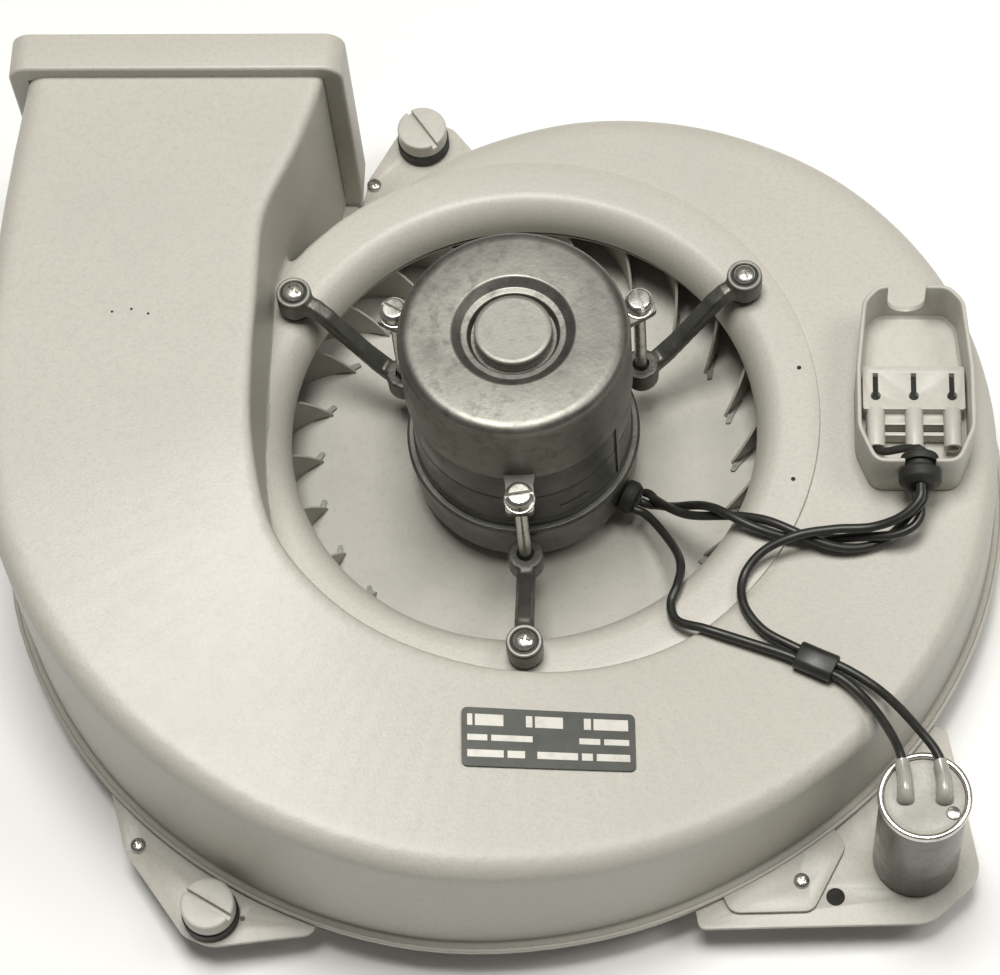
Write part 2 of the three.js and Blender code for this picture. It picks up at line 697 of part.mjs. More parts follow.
// -------------------------------------------------------------------- wiring
const GROMMET_LEVEL = 33;
const GROMMET_ANGLE = -27;

function motorGrommet() {
  const solid = turned([
    [0, 34.6], [3.3, 34.6], [3.3, 38.3], [5.8, 38.3], [5.8, 41.4], [5.2, 43.2], [0, 43.2],
  ], 20);
  return solid.rotate([0, 90, 0]).translate([0, 0, GROMMET_LEVEL]).rotate([0, 0, GROMMET_ANGLE]);
}

const FEED_ROUTE = [
  [40.2, -18.4, 33.3], [44.6, -20.6, 34], [54.5, -29.5, 46.5], [66, -36.5, 58.4],
  [78.4, -42, 61.8], [91.7, -46.2, 61.2], [106, -48.4, 60.8], [118.5, -47, 61.8],
  [127, -43.6, 66], [130.4, -39, 69.3], [130.5, -34.2, 69.6],
];
const LEAD_RADIUS = 1.5;
const TWIST_RADIUS = 1.75;
const TWIST_TURNS = 2.5;

// Two leads laid round a common route.
class TwistedLead extends THREE.Curve {
  constructor(route, phase) {
    super();
    this.route = route;
    this.phase = phase;
  }

  getPoint(t) {
    const centre = this.route.getPoint(t);
    const along = this.route.getTangent(t);
    const across = new THREE.Vector3(0, 0, 1).cross(along).normalize();
    const over = along.clone().cross(across).normalize();
    const turn = this.phase + 2 * Math.PI * TWIST_TURNS * t;
    return centre
      .addScaledVector(across, TWIST_RADIUS * Math.cos(turn))
      .addScaledVector(over, TWIST_RADIUS * Math.sin(turn));
  }
}

function feedLead(index) {
  const route = new THREE.CatmullRomCurve3(FEED_ROUTE.map((p) => new THREE.Vector3(...p)));
  return tubeAlong(new TwistedLead(route, Math.PI * index), LEAD_RADIUS, 30, 8);
}

// From the motor, over the throat's edge, to the first capacitor tab.
const LEAD_A_ROUTE = [
  [37.4, -22.8, 33], [41, -24.7, 33.2], [50.5, -41, 43], [53.4, -55, 55.5],
  [52.4, -63.5, 60.2], [50.4, -70, 60.2], [52.2, -76.6, 61.6], [61.5, -80.8, 64.2],
  [75.2, -85.2, 63.8], [87.4, -89.3, 63.4], [96, -93.2, 63.2], [104.6, -97.1, 63],
  [112, -104.5, 63.8], [118.4, -115.5, 67.6], [122.2, -126, 71.6], [123.6, -134.9, 71.8],
];
// From the gland, over the pair, to the second tab.
const LEAD_B_ROUTE = [
  [130.5, -34, 74.7], [130, -38.8, 74.3], [125, -43.6, 71.8], [115.5, -46, 68],
  [103, -46.4, 66.8], [90.5, -48.6, 66.4], [79.6, -53.2, 63.4], [73.8, -60.6, 60.8],
  [73.6, -70.5, 61.8], [79.5, -80, 62.8], [88.9, -86, 63.4], [97.5, -89.9, 63.2],
  [106.1, -93.8, 63], [117, -102, 64.2], [128.2, -117.5, 70.6], [134, -127, 72],
  [135.6, -134.9, 71.8],
];

function leadSleeve() {
  const start = new THREE.Vector3(90.9, -88.9, 63.2);
  const end = new THREE.Vector3(102.6, -94.2, 63.2);
  const along = end.clone().sub(start);
  const length = along.length();
  const half = 1.8;
  const oval = (path, radius) => path
    .absarc(half, 0, radius, -Math.PI / 2, Math.PI / 2)
    .absarc(-half, 0, radius, Math.PI / 2, Math.PI * 1.5);
  const shape = oval(new THREE.Shape(), 2.9);
  shape.holes.push(oval(new THREE.Path(), 2.05));
  const geometry = new THREE.ExtrudeGeometry(shape, {
    depth: length,
    bevelEnabled: false,
    curveSegments: 6,
  });
  geometry.rotateX(Math.PI / 2);
  geometry.rotateZ(Math.atan2(along.y, along.x) + Math.PI / 2);
  geometry.translate(start.x, start.y, start.z);
  return toSolid(geometry);
}

// ---------------------------------------------------------------- name plate
// A thin plate that lies on the climbing spiral face.
function ratingPlate() {
  const rows = [-133.2, -126.7, -120.2, -113.7];
  const columns = [-14, -5, 4, 13, 22, 31, 40];
  const lift = 0.45;
  const thick = 0.6;
  const rings = columns.map((x) => {
    const height = (y) => faceHeight(THREE.MathUtils.radToDeg(Math.atan2(y, x))) + lift;
    const lower = rows.map((y) => new THREE.Vector3(x, y, height(y)));
    const upper = rows.map((y) => new THREE.Vector3(x, y, height(y) + thick)).reverse();
    return [...lower, ...upper];
  });
  return loft(rings);
}

// ------------------------------------------------------------------ assembly
add('scroll_shell', scrollShell(), PAINT);
add('outlet_collar', outletCollar(), PAINT);
add('inlet_ring', inletRing(), PAINT);
add('mounting_plate', mountingPlate(), PAINT);
add('back_cover', backCover(), PAINT);

add('impeller_disc', impellerDisc(), PALE_SHEET);
add('impeller_blades', impellerBlades(), PALE_SHEET);
add('impeller_bush', impellerBush(), GREY_STEEL);

add('motor_can', motorCan(), CAN_METAL);
add('bearing_cap', bearingCap(), CAN_METAL);
add('stator_core', stator(), DARK_IRON);
add('lower_shield', lowerShield(), GREY_STEEL);
add('rotor_core', rotorCore(), DARK_IRON);
add('motor_shaft', motorShaft(), BRIGHT_STEEL);
add('upper_bearing', bearing(103.5), BRIGHT_STEEL);
add('lower_bearing', bearing(26), BRIGHT_STEEL);

ARM_ANGLES.forEach((degrees, index) => {
  const number = index + 1;
  const centre = polar(ARM_CIRCLE, degrees);
  add(`motor_bolt_${number}`, motorBolt(degrees), BRIGHT_STEEL);
  add(`support_arm_${number}`, arm(degrees), CAST_ARM);
  add(`arm_bush_${number}`, armBush(degrees), BLACK_RUBBER);
  const headLevel = OUTER_HIGH - 0.8 + GAP;
  add(`arm_screw_${number}`, crossScrew(centre.x, centre.y, headLevel, 50, 3.6, 1.9), BRIGHT_STEEL);
});

add('terminal_box', terminalBox(), WHITE_PLASTIC);
add('terminal_block', terminalBlock(), WHITE_PLASTIC);
add('cable_gland', cableGland(), BLACK_RUBBER);

add('capacitor_can', capacitorCan(), CAN_METAL);
add('capacitor_lid', capacitorLid(), GREY_STEEL);
add('capacitor_nut', capacitorNut(), BRIGHT_STEEL);
TAB_XS.forEach((offset, index) => {
  add(`capacitor_tab_${index + 1}`, capacitorTab(offset), WHITE_PLASTIC);
});

add('buffer_top', buffer(KNOBS.top), BLACK_RUBBER);
add('buffer_left', buffer(KNOBS.left), BLACK_RUBBER);
add('knob_top', knob(KNOBS.top, -55), WHITE_PLASTIC);
add('knob_left', knob(KNOBS.left, -30), WHITE_PLASTIC);
EAR_SCREWS.forEach(([x, y], index) => {
  const screw = crossScrew(x, y, PLATE_TOP + GAP, 9, 2.6, 1.6);
  add(`ear_screw_${index + 1}`, screw, BRIGHT_STEEL);
});

add('motor_grommet', motorGrommet(), BLACK_RUBBER);
add('feed_lead_1', feedLead(0), BLACK_RUBBER);
add('feed_lead_2', feedLead(1), BLACK_RUBBER);
add('capacitor_lead_1', tube(LEAD_A_ROUTE, LEAD_RADIUS, 36), BLACK_RUBBER);
add('capacitor_lead_2', tube(LEAD_B_ROUTE, LEAD_RADIUS, 36), BLACK_RUBBER);
add('lead_sleeve', leadSleeve(), BLACK_RUBBER);
add('rating_plate', ratingPlate(), PLATE_PAINT);

export default group;
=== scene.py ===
"""Centrifugal blower: spiral sheet housing, outside motor on cast arms, wheel, terminal box, capacitor, leads."""
import math
from contextlib import contextmanager
from math import cos, pi, radians, sin

import bmesh
import bpy
import numpy as np
from mathutils import Matrix, Vector


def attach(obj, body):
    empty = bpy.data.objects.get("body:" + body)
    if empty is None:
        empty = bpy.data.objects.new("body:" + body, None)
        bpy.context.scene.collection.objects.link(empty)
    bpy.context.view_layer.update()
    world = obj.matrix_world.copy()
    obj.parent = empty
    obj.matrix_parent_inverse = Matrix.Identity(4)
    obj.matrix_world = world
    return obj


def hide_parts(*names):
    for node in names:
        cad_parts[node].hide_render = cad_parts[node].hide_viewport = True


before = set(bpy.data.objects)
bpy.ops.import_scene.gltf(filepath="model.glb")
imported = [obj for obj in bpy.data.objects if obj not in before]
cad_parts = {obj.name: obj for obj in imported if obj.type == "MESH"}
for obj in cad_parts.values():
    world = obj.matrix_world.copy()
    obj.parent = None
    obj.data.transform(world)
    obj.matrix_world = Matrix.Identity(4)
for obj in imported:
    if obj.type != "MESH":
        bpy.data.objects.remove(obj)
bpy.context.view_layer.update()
MM = 0.001

# ---- shared sizes: millimetres, degrees round the axis
SHEET = 1.3
PLATE_BOTTOM = 13.8
PLATE_TOP = 15.3
SHELL_BOTTOM = 15.6
TAB_TOP = 17
RING_LEVEL = 56
RAISE = 42
DUCT_LEVEL = RING_LEVEL + RAISE
TONGUE = 118
ARM_ANGLES = (32.6, 152.6, -87.4)
ARM_CIRCLE = 87.7
BOLT_CIRCLE = 46.5
CAPACITOR = (129.6, -139.3)
KNOBS = {"top": (-41.7, 132.9, -55), "left": (-98, -162.2, -30)}
EAR_SCREWS = ((-59, 115.7), (-124, -138.5), (92.9, -148.4))
MOUNT_HOLE = (103.8, -153)
BOX_X = 129.5
TERMINAL_XS = (117, 129.5, 142)
GLAND = (130.5, -27, 71)
GROMMET_ANGLE = -27
GROMMET_LEVEL = 33


# ---- materials
class Nodes:
    """Small helper that adds shader nodes; an input gets a link if its value is a socket."""

    def __init__(self, name):
        self.material = bpy.data.materials.new(name)
        self.material.use_nodes = True
        self.tree = self.material.node_tree
        self.shader = self.tree.nodes["Principled BSDF"]
        self.coords = self.add("ShaderNodeTexCoord").outputs["Object"]

    def set(self, target, value):
        if hasattr(value, "is_linked"):
            self.tree.links.new(value, target)
        else:
            target.default_value = value

    def fill(self, node, inputs):
        for key, value in inputs.items():
            self.set(node.inputs[key], value)

    def add(self, kind, inputs=None, **settings):
        node = self.tree.nodes.new(kind)
        for key, value in settings.items():
            setattr(node, key, value)
        self.fill(node, inputs or {})
        return node

    def noise(self, scale, detail=4, rough=0.5):
        inputs = {"Scale": scale, "Detail": detail, "Roughness": rough, "Vector": self.coords}
        return self.add("ShaderNodeTexNoise", inputs).outputs["Fac"]

    def ramp(self, source, low, high, out_low=0, out_high=1):
        inputs = {"From Min": low, "From Max": high, "To Min": out_low, "To Max": out_high, "Value": source}
        return self.add("ShaderNodeMapRange", inputs).outputs["Result"]

    def mix(self, share, first, second):
        node = self.add("ShaderNodeMix", {"Factor": share}, data_type="RGBA")
        for socket, value in (("A", first), ("B", second)):
            self.set(next(s for s in node.inputs if s.name == socket and s.type == "RGBA"), value)
        return next(s for s in node.outputs if s.type == "RGBA")

    def bump(self, height, strength, depth):
        inputs = {"Strength": strength, "Distance": depth, "Height": height}
        return self.add("ShaderNodeBump", inputs).outputs["Normal"]


WEAR_SCALE = 90


def look(name, colour, rough, metal, stains, grain, wear, coat=0):
    """A finish: colour, stains as (scale, colour, low, high), roughness wear, grain as (scale, strength, depth)."""
    n = Nodes(name)
    base = (*colour, 1)
    for scale, stain, low, high in stains:
        base = n.mix(n.ramp(n.noise(scale, 6, 0.6), low, high), base, (*stain, 1))
    grain_scale, strength, depth = grain
    n.fill(n.shader, {
        "Base Color": base,
        "Roughness": n.ramp(n.noise(WEAR_SCALE, 5, 0.6), 0.3, 0.7, rough - wear, rough + wear),
        "Metallic": metal,
        "Coat Weight": coat,
        "Coat Roughness": 0.25,
        "Normal": n.bump(n.noise(grain_scale, 3, 0.5), strength, depth),
    })
    return n.material


LOOKS = {
    "paint": look(
        "stove_enamel", (0.48, 0.462, 0.405), 0.44, 0,
        ((14, (0.425, 0.41, 0.36), 0.5, 0.98), (700, (0.435, 0.418, 0.366), 0.45, 0.7)),
        (1300, 0.22, 0.0004), 0.02, 0.1),
    "pale_sheet": look(
        "wheel_sheet", (0.43, 0.416, 0.366), 0.5, 0,
        ((36, (0.35, 0.34, 0.3), 0.5, 0.9), (520, (0.37, 0.358, 0.315), 0.52, 0.75)),
        (1100, 0.12, 0.0003), 0.08),
    "can_metal": look(
        "can_plating", (0.225, 0.222, 0.197), 0.43, 0.84,
        ((55, (0.085, 0.083, 0.072), 0.54, 0.82), (240, (0.125, 0.122, 0.107), 0.5, 0.72),
         (24, (0.14, 0.138, 0.122), 0.42, 0.7)),
        (700, 0.12, 0.0003), 0.06),
    "cap_plating": look(
        "cap_plating", (0.27, 0.266, 0.236), 0.48, 0.6,
        ((90, (0.2, 0.197, 0.174), 0.5, 0.85), (420, (0.23, 0.226, 0.2), 0.5, 0.7)),
        (900, 0.15, 0.0002), 0.06),
    "capacitor_tin": look(
        "capacitor_tin", (0.135, 0.135, 0.12), 0.3, 0.92,
        ((60, (0.08, 0.08, 0.071), 0.48, 0.78), (300, (0.1, 0.1, 0.089), 0.5, 0.7)),
        (700, 0.2, 0.0003), 0.07),
    "grey_steel": look(
        "shield_steel", (0.165, 0.165, 0.146), 0.4, 0.75,
        ((60, (0.1, 0.1, 0.088), 0.48, 0.75), (300, (0.13, 0.13, 0.115), 0.5, 0.7)),
        (800, 0.15, 0.0003), 0.1),
    "dark_iron": look(
        "stack_iron", (0.105, 0.107, 0.094), 0.42, 0.45,
        ((70, (0.068, 0.069, 0.06), 0.45, 0.75), (260, (0.125, 0.125, 0.11), 0.55, 0.75)),
        (500, 0.25, 0.0003), 0.12),
    "cast_arm": look(
        "die_casting", (0.105, 0.105, 0.09), 0.4, 0.55,
        ((160, (0.065, 0.065, 0.055), 0.45, 0.7), (40, (0.15, 0.15, 0.13), 0.5, 0.8)),
        (900, 0.35, 0.0003), 0.14),
    "bright_steel": look(
        "bright_zinc", (0.62, 0.61, 0.56), 0.27, 0.92, ((260, (0.36, 0.355, 0.32), 0.5, 0.75),),
        (1400, 0.12, 0.0002), 0.1),
    "black_rubber": look(
        "black_rubber", (0.016, 0.016, 0.013), 0.62, 0, ((200, (0.028, 0.029, 0.024), 0.45, 0.7),),
        (1800, 0.25, 0.0002), 0.12),
    "black_cable": look(
        "lead_insulation", (0.018, 0.018, 0.015), 0.4, 0, ((240, (0.028, 0.028, 0.024), 0.45, 0.7),),
        (900, 0.12, 0.0002), 0.08),
    "white_plastic": look(
        "white_moulding", (0.49, 0.474, 0.42), 0.45, 0,
        ((60, (0.41, 0.398, 0.352), 0.5, 0.85), (500, (0.45, 0.436, 0.386), 0.45, 0.7)),
        (1600, 0.1, 0.0002), 0.08),
    "lid_grey": look(
        "potting_grey", (0.4, 0.388, 0.344), 0.5, 0,
        ((90, (0.3, 0.292, 0.258), 0.48, 0.75), (700, (0.34, 0.331, 0.293), 0.5, 0.7)),
        (900, 0.35, 0.0004), 0.1),
    "clear_sleeve": look(
        "milky_sleeve", (0.36, 0.35, 0.308), 0.22, 0, ((200, (0.25, 0.243, 0.214), 0.45, 0.75),),
        (600, 0.15, 0.0003), 0.08, 0.4),
    "name_plate": look(
        "plate_ground", (0.058, 0.061, 0.052), 0.46, 0, ((150, (0.042, 0.044, 0.038), 0.45, 0.75),),
        (1600, 0.15, 0.0001), 0.08),
    "plate_marks": look(
        "plate_marks", (0.6, 0.585, 0.525), 0.4, 0.1, ((300, (0.48, 0.468, 0.42), 0.5, 0.75),),
        (1600, 0.1, 0.0001), 0.08),
    # painted shade: near-black that stands for the shadowed inside of holes and slots
    "painted_shade": look(
        "deep_shadow", (0.012, 0.012, 0.01), 0.8, 0, ((300, (0.02, 0.02, 0.017), 0.5, 0.7),),
        (800, 0.2, 0.0002), 0.1),
}


# ---- mesh helpers
def spot(radius, degrees):
    """Plan point at this radius and angle."""
    a = radians(degrees)
    return radius * cos(a), radius * sin(a)


def bent(start, knee, end, t):
    """The point at this share of a curve that bends at the knee."""
    return start * (1 - t) ** 2 + knee * (2 * t * (1 - t)) + end * t ** 2


def rounded(points, radius, steps=4):
    """Replaces each corner of a flat closed outline by an arc; a point may carry its own radius."""
    result = []
    count = len(points)
    for i, point in enumerate(points):
        own = point[2] if len(point) > 2 else radius
        here = Vector(point[:2])
        before = Vector(points[i - 1][:2]) - here
        after = Vector(points[(i + 1) % count][:2]) - here
        reach = min(before.length, after.length) * 0.48
        a, b = before.normalized(), after.normalized()
        half = a.angle(b, 0) / 2
        if own <= 0 or half > radians(87):
            result.append(tuple(here))
            continue
        trim = min(own / math.tan(half), reach)
        start, end = here + a * trim, here + b * trim
        result += [tuple(bent(start, here, end, k / steps)) for k in range(steps + 1)]
    return result


def shrunk(outline, centre, inset):
    """The outline moved inwards along its normals."""
    result = []
    count = len(outline)
    for i, p in enumerate(outline):
        tangent = Vector(outline[(i + 1) % count]) - Vector(outline[i - 1])
        normal = Vector((tangent.y, -tangent.x)).normalized()
        if normal.dot(Vector(centre) - Vector(p)) < 0:
            normal = -normal
        result.append(tuple(Vector(p) + normal * inset))
    return result


def lathe(profile, centre=(0, 0), segments=96):
    """Solid of revolution about Z; the (radius, height) profile starts and ends on the axis or is a closed loop."""
    on_axis = profile[0][0] < 1e-6 and profile[-1][0] < 1e-6
    verts, faces, rows = [], [], []
    for radius, height in profile:
        if radius < 1e-6:
            rows.append([len(verts)] * segments)
            verts.append((*centre, height))
            continue
        rows.append(range(len(verts), len(verts) + segments))
        for k in range(segments):
            x, y = spot(radius, 360 * k / segments)
            verts.append((centre[0] + x, centre[1] + y, height))
    pairs = list(zip(rows, rows[1:])) + ([] if on_axis else [(rows[-1], rows[0])])
    for low, high in pairs:
        for k in range(segments):
            ring = [low[k], low[(k + 1) % segments], high[(k + 1) % segments], high[k]]
            face = list(dict.fromkeys(ring))
            if len(face) > 2:
                faces.append(face)
    return verts, faces


def loft(rings, closed_path=False, caps=True):
    """Skins matching closed rings of 3-D points."""
    count = len(rings[0])
    verts = [tuple(p) for ring in rings for p in ring]
    faces = []
    spans = len(rings) if closed_path else len(rings) - 1
    for i in range(spans):
        a, b = i * count, ((i + 1) % len(rings)) * count
        for j in range(count):
            k = (j + 1) % count
            faces.append([a + j, a + k, b + k, b + j])
    if caps and not closed_path:
        last = (len(rings) - 1) * count
        faces.append(list(range(count))[::-1])
        faces.append([last + j for j in range(count)])
    return verts, faces


def prism(outline, low, high):
    """Flat outline raised from low to high."""
    return loft([[(x, y, z) for x, y in outline] for z in (low, high)])


def block(low, high):
    (x0, y0, z0), (x1, y1, z1) = low, high
    return prism([(x0, y0), (x1, y0), (x1, y1), (x0, y1)], z0, z1)


def post(x, y, radius, low, high, segments=48):
    return lathe([(0, low), (radius, low), (radius, high), (0, high)], (x, y), segments)


def placed(shape, offset=(0, 0, 0), degrees=0, axis="X"):
    """The shape turned about an axis through the origin, then moved."""
    verts, faces = shape
    matrix = Matrix.Translation(offset) @ Matrix.Rotation(radians(degrees), 4, axis)
    return [tuple(matrix @ Vector(v)) for v in verts], faces


def turned(shape, degrees, axis="Z"):
    return placed(shape, degrees=degrees, axis=axis)


def gathered(*shapes):
    verts, faces = [], []
    for v, f in shapes:
        faces += [[i + len(verts) for i in face] for face in f]
        verts += v
    return verts, faces


@contextmanager
def editing(mesh):
    """Opens a mesh as a BMesh and writes it back."""
    b = bmesh.new()
    b.from_mesh(mesh)
    yield b
    b.to_mesh(mesh)
    b.free()


def in_scene(name, data):
    obj = bpy.data.objects.new(name, data)
    bpy.context.scene.collection.objects.link(obj)
    return obj


def made(name, shape):
    """A mesh object from a shape in millimetres, with its faces pointing out."""
    verts, faces = shape
    mesh = bpy.data.meshes.new(name)
    mesh.from_pydata([tuple(c * MM for c in v) for v in verts], [], faces)
    with editing(mesh) as b:
        bmesh.ops.recalc_face_normals(b, faces=b.faces)
    return in_scene(name, mesh)


def modified(obj, kind, **settings):
    """Adds a modifier and turns it into the object's mesh."""
    modifier = obj.modifiers.new(kind.lower(), kind)
    for key, value in settings.items():
        setattr(modifier, key, value)
    bpy.context.view_layer.update()
    graph = bpy.context.evaluated_depsgraph_get()
    mesh = bpy.data.meshes.new_from_object(obj.evaluated_get(graph))
    obj.modifiers.clear()
    obj.data = mesh
    return obj


def combined(obj, shape, operation):
    tool = made("tool", shape)
    modified(obj, "BOOLEAN", operation=operation, solver="EXACT", use_self=True, object=tool)
    bpy.data.objects.remove(tool)


def carved(obj, *shapes):
    combined(obj, gathered(*shapes), "DIFFERENCE")


def fused(name, first, *others):
    obj = made(name, first)
    for shape in others:
        combined(obj, shape, "UNION")
    return obj


def edged(obj, width, segments=2, degrees=32):
    """Small rounds on the sharp edges."""
    return modified(obj, "BEVEL", width=width * MM, segments=segments, limit_method="ANGLE",
                    angle_limit=radians(degrees), use_clamp_overlap=True, miter_outer="MITER_ARC")


def heading(path, k):
    """The unit direction of a path at its point k."""
    return (path[min(k + 1, len(path) - 1)] - path[max(k - 1, 0)]).normalized()


def oval_round(point, across, over, count):
    """An oval ring of points with these two half axes."""
    turns = np.linspace(0, 2 * pi, count, endpoint=False)
    return [point + across * cos(a) + over * sin(a) for a in turns]


def melted(obj, voxel, passes):
    """Fuses overlapping solids into one skin with soft fillets."""
    modified(obj, "REMESH", mode="VOXEL", voxel_size=voxel * MM)
    modified(obj, "SMOOTH", factor=0.5, iterations=passes)


def dressed(obj, finish, body="housing", node=None, degrees=35):
    """Shades, paints and mounts a finished piece."""
    mesh = obj.data
    mesh.materials.clear()
    mesh.materials.append(LOOKS[finish])
    limit = radians(degrees)
    with editing(mesh) as b:
        for edge in b.edges:
            edge.smooth = len(edge.link_faces) == 2 and edge.calc_face_angle(0) < limit
        for face in b.faces:
            face.smooth = True
            face.material_index = 0
    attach(obj, body)
    if node:
        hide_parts(node)
    return obj


def piece(name, shape, finish, body="housing", node=None, degrees=35):
    return dressed(made(name, shape), finish, body, node, degrees)


# ---- the camera
def make_camera():
    """Looks down on the blower from the front, rolled a little."""
    azimuth, elevation, roll = (radians(a) for a in (8.14, 63, -6.97))
    distance = 1.1
    target = Vector((-0.0062, -0.02855, 0.06))
    back = Vector((sin(azimuth) * cos(elevation), -cos(azimuth) * cos(elevation), sin(elevation)))
    right = Vector((cos(azimuth), sin(azimuth), 0))
    up = back.cross(right)
    right, up = right * cos(roll) + up * sin(roll), up * cos(roll) - right * sin(roll)
    camera = in_scene("camera", bpy.data.cameras.new("camera"))
    camera.data.lens = 120.4
    camera.data.sensor_width = 36
    axes = Matrix((right, up, back)).transposed().to_4x4()
    camera.matrix_world = Matrix.Translation(target + back * distance) @ axes
    bpy.context.scene.camera = camera


make_camera()


# ---- the leads
def catmull(points, steps):
    """Centripetal Catmull-Rom curve through the points, sampled evenly in its parameter."""
    pts = [Vector(p) for p in points]
    ends = [pts[0] * 2 - pts[1], pts[-1] * 2 - pts[-2]]
    result = []
    spans = len(pts) - 1
    for k in range(steps + 1):
        place = min(k / steps * spans, spans - 1e-9)
        i = int(place)
        w = place - i
        p0 = pts[i - 1] if i > 0 else ends[0]
        p1, p2 = pts[i], pts[i + 1]
        p3 = pts[i + 2] if i + 2 < len(pts) else ends[1]
        d0, d1, d2 = ((b - a).length ** 0.5 for a, b in ((p0, p1), (p1, p2), (p2, p3)))
        t1 = ((p1 - p0) / d0 - (p2 - p0) / (d0 + d1) + (p2 - p1) / d1) * d1
        t2 = ((p2 - p1) / d1 - (p3 - p1) / (d1 + d2) + (p3 - p2) / d2) * d1
        c2 = -3 * p1 + 3 * p2 - 2 * t1 - t2
        c3 = 2 * p1 - 2 * p2 + t1 + t2
        result.append(p1 + t1 * w + c2 * w * w + c3 * w ** 3)
    return result


def lead(name, points, node):
    """A free lead: one smooth spline with a round section, in place of its CAD node."""
    curve = bpy.data.curves.new(name, "CURVE")
    curve.dimensions = "3D"
    curve.bevel_depth = LEAD_RADIUS * MM
    curve.bevel_resolution = 5
    curve.use_fill_caps = True
    spline = curve.splines.new("POLY")
    spline.points.add(len(points) - 1)
    for target, p in zip(spline.points, points):
        target.co = (*(c * MM for c in p), 1)
    spline.use_smooth = True
    obj = in_scene(name, curve)
    curve.materials.append(LOOKS["black_cable"])
    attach(obj, "housing")
    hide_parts(node)


FEED_ROUTE = (
    (40.2, -18.4, 33.3), (44.6, -20.6, 34), (54.5, -29.5, 46.5), (66, -36.5, 58.4),
    (78.4, -42, 61.8), (91.7, -46.2, 61.2), (106, -48.4, 60.8), (118.5, -47, 61.8),
    (127, -43.6, 66), (130.4, -39, 69.3), (130.5, -34.2, 69.6),
)
LEAD_A_ROUTE = (
    (37.4, -22.8, 33), (41, -24.7, 33.2), (50.5, -41, 43), (53.4, -55, 55.5),
    (52.4, -63.5, 60.2), (50.4, -70, 60.2), (52.2, -76.6, 61.6), (61.5, -80.8, 64.2),
    (75.2, -85.2, 63.8), (87.4, -89.3, 63.4), (96, -93.2, 63.2), (104.6, -97.1, 63),
    (112, -104.5, 63.8), (118.4, -115.5, 67.6), (122.2, -126, 71.6), (123.6, -134.9, 71.8),
)
LEAD_B_ROUTE = (
    (130.5, -34, 74.7), (130, -38.8, 74.3), (125, -43.6, 71.8), (115.5, -46, 68),
    (103, -46.4, 66.8), (90.5, -48.6, 66.4), (79.6, -53.2, 63.4), (73.8, -60.6, 60.8),
    (73.6, -70.5, 61.8), (79.5, -80, 62.8), (88.9, -86, 63.4), (97.5, -89.9, 63.2),
    (106.1, -93.8, 63), (117, -102, 64.2), (128.2, -117.5, 70.6), (134, -127, 72),
    (135.6, -134.9, 71.8),
)
LEAD_RADIUS = 1.5
LEAD_STEPS = 160
TWIST_RADIUS = 1.75
TWIST_TURNS = 2.5
TWIST_STEPS = 150
UP = Vector((0, 0, 1))


def twisted(phase):
    """One strand laid round the pair's common route."""
    centre = catmull(FEED_ROUTE, TWIST_STEPS)
    result = []
    for k, point in enumerate(centre):
        along = heading(centre, k)
        across = UP.cross(along).normalized()
        over = along.cross(across)
        turn = phase + 2 * pi * TWIST_TURNS * k / TWIST_STEPS
        result.append(point + across * TWIST_RADIUS * cos(turn) + over * TWIST_RADIUS * sin(turn))
    return result


def make_leads():
    sleeve_start = Vector((90.9, -88.9, 63.2))
    sleeve_end = Vector((102.6, -94.2, 63.2))
    side = UP.cross((sleeve_end - sleeve_start).normalized())
    half_gap = 1.8
    steps = 28

    def oval(t, radius):
        """The sleeve's section, round the two leads that lie side by side."""
        ring = []
        for k in range(steps):
            a = 2 * pi * k / steps
            shift = math.copysign(half_gap, cos(a))
            flat = side * (shift + radius * cos(a)) + Vector((0, 0, radius * sin(a)))
            ring.append(sleeve_start.lerp(sleeve_end, t) + flat)
        return ring

    outside = [oval(0, 2.6), oval(0.04, 2.9), oval(0.5, 2.82), oval(0.96, 2.9), oval(1, 2.6)]
    inside = [oval(1, 2.05), oval(0, 2.05)]
    skin = loft(outside + inside, closed_path=True)
    sleeve = piece("lead_sleeve_skin", skin, "black_cable", node="lead_sleeve")
    lead("feed_strand_1", twisted(0), "feed_lead_1")
    lead("feed_strand_2", twisted(pi), "feed_lead_2")
    lead("capacitor_strand_1", catmull(LEAD_A_ROUTE, LEAD_STEPS), "capacitor_lead_1")
    lead("capacitor_strand_2", catmull(LEAD_B_ROUTE, LEAD_STEPS), "capacitor_lead_2")


make_leads()


# ---- spiral housing
# Angle, wall radius and edge radius, going round from the tongue.
SCROLL = (
    (118, 102, 85), (100, 111, 85), (80, 122, 85), (60, 133, 85), (40, 144, 85),
    (20, 152.5, 85), (0, 157.5, 99.5), (-20, 160, 99.5), (-40, 161.5, 99.5),
    (-60, 163, 99.5), (-80, 167, 99.5), (-100, 171.5, 99.5), (-120, 174, 99.5),
    (-140, 176, 96.8), (-160, 177, 89), (-180, 176, 85.8),
)
# Distance along the duct, then its two sides.
DUCT = (
    (28, -85.8, -175.5), (54, -85.2, -174.5), (80, -76, -173), (104, -69.5, -171), (121, -66.5, -170),
)
COLLAR_START = 107.5
TONGUE_EDGE = ((101.9, 117.2), (101.6, 124), (101.4, 131), (101.3, 138), (101.6, 146))
SPLITS = 7


def face_height(degrees):
    """The front face's height, which climbs smoothly on its way to the duct."""
    climb_start, climb_length = 135, 155
    t = ((TONGUE - degrees) % 360 - climb_start) / climb_length
    t = min(max(t, 0), 1)
    return RING_LEVEL + RAISE * t * t * (3 - 2 * t)


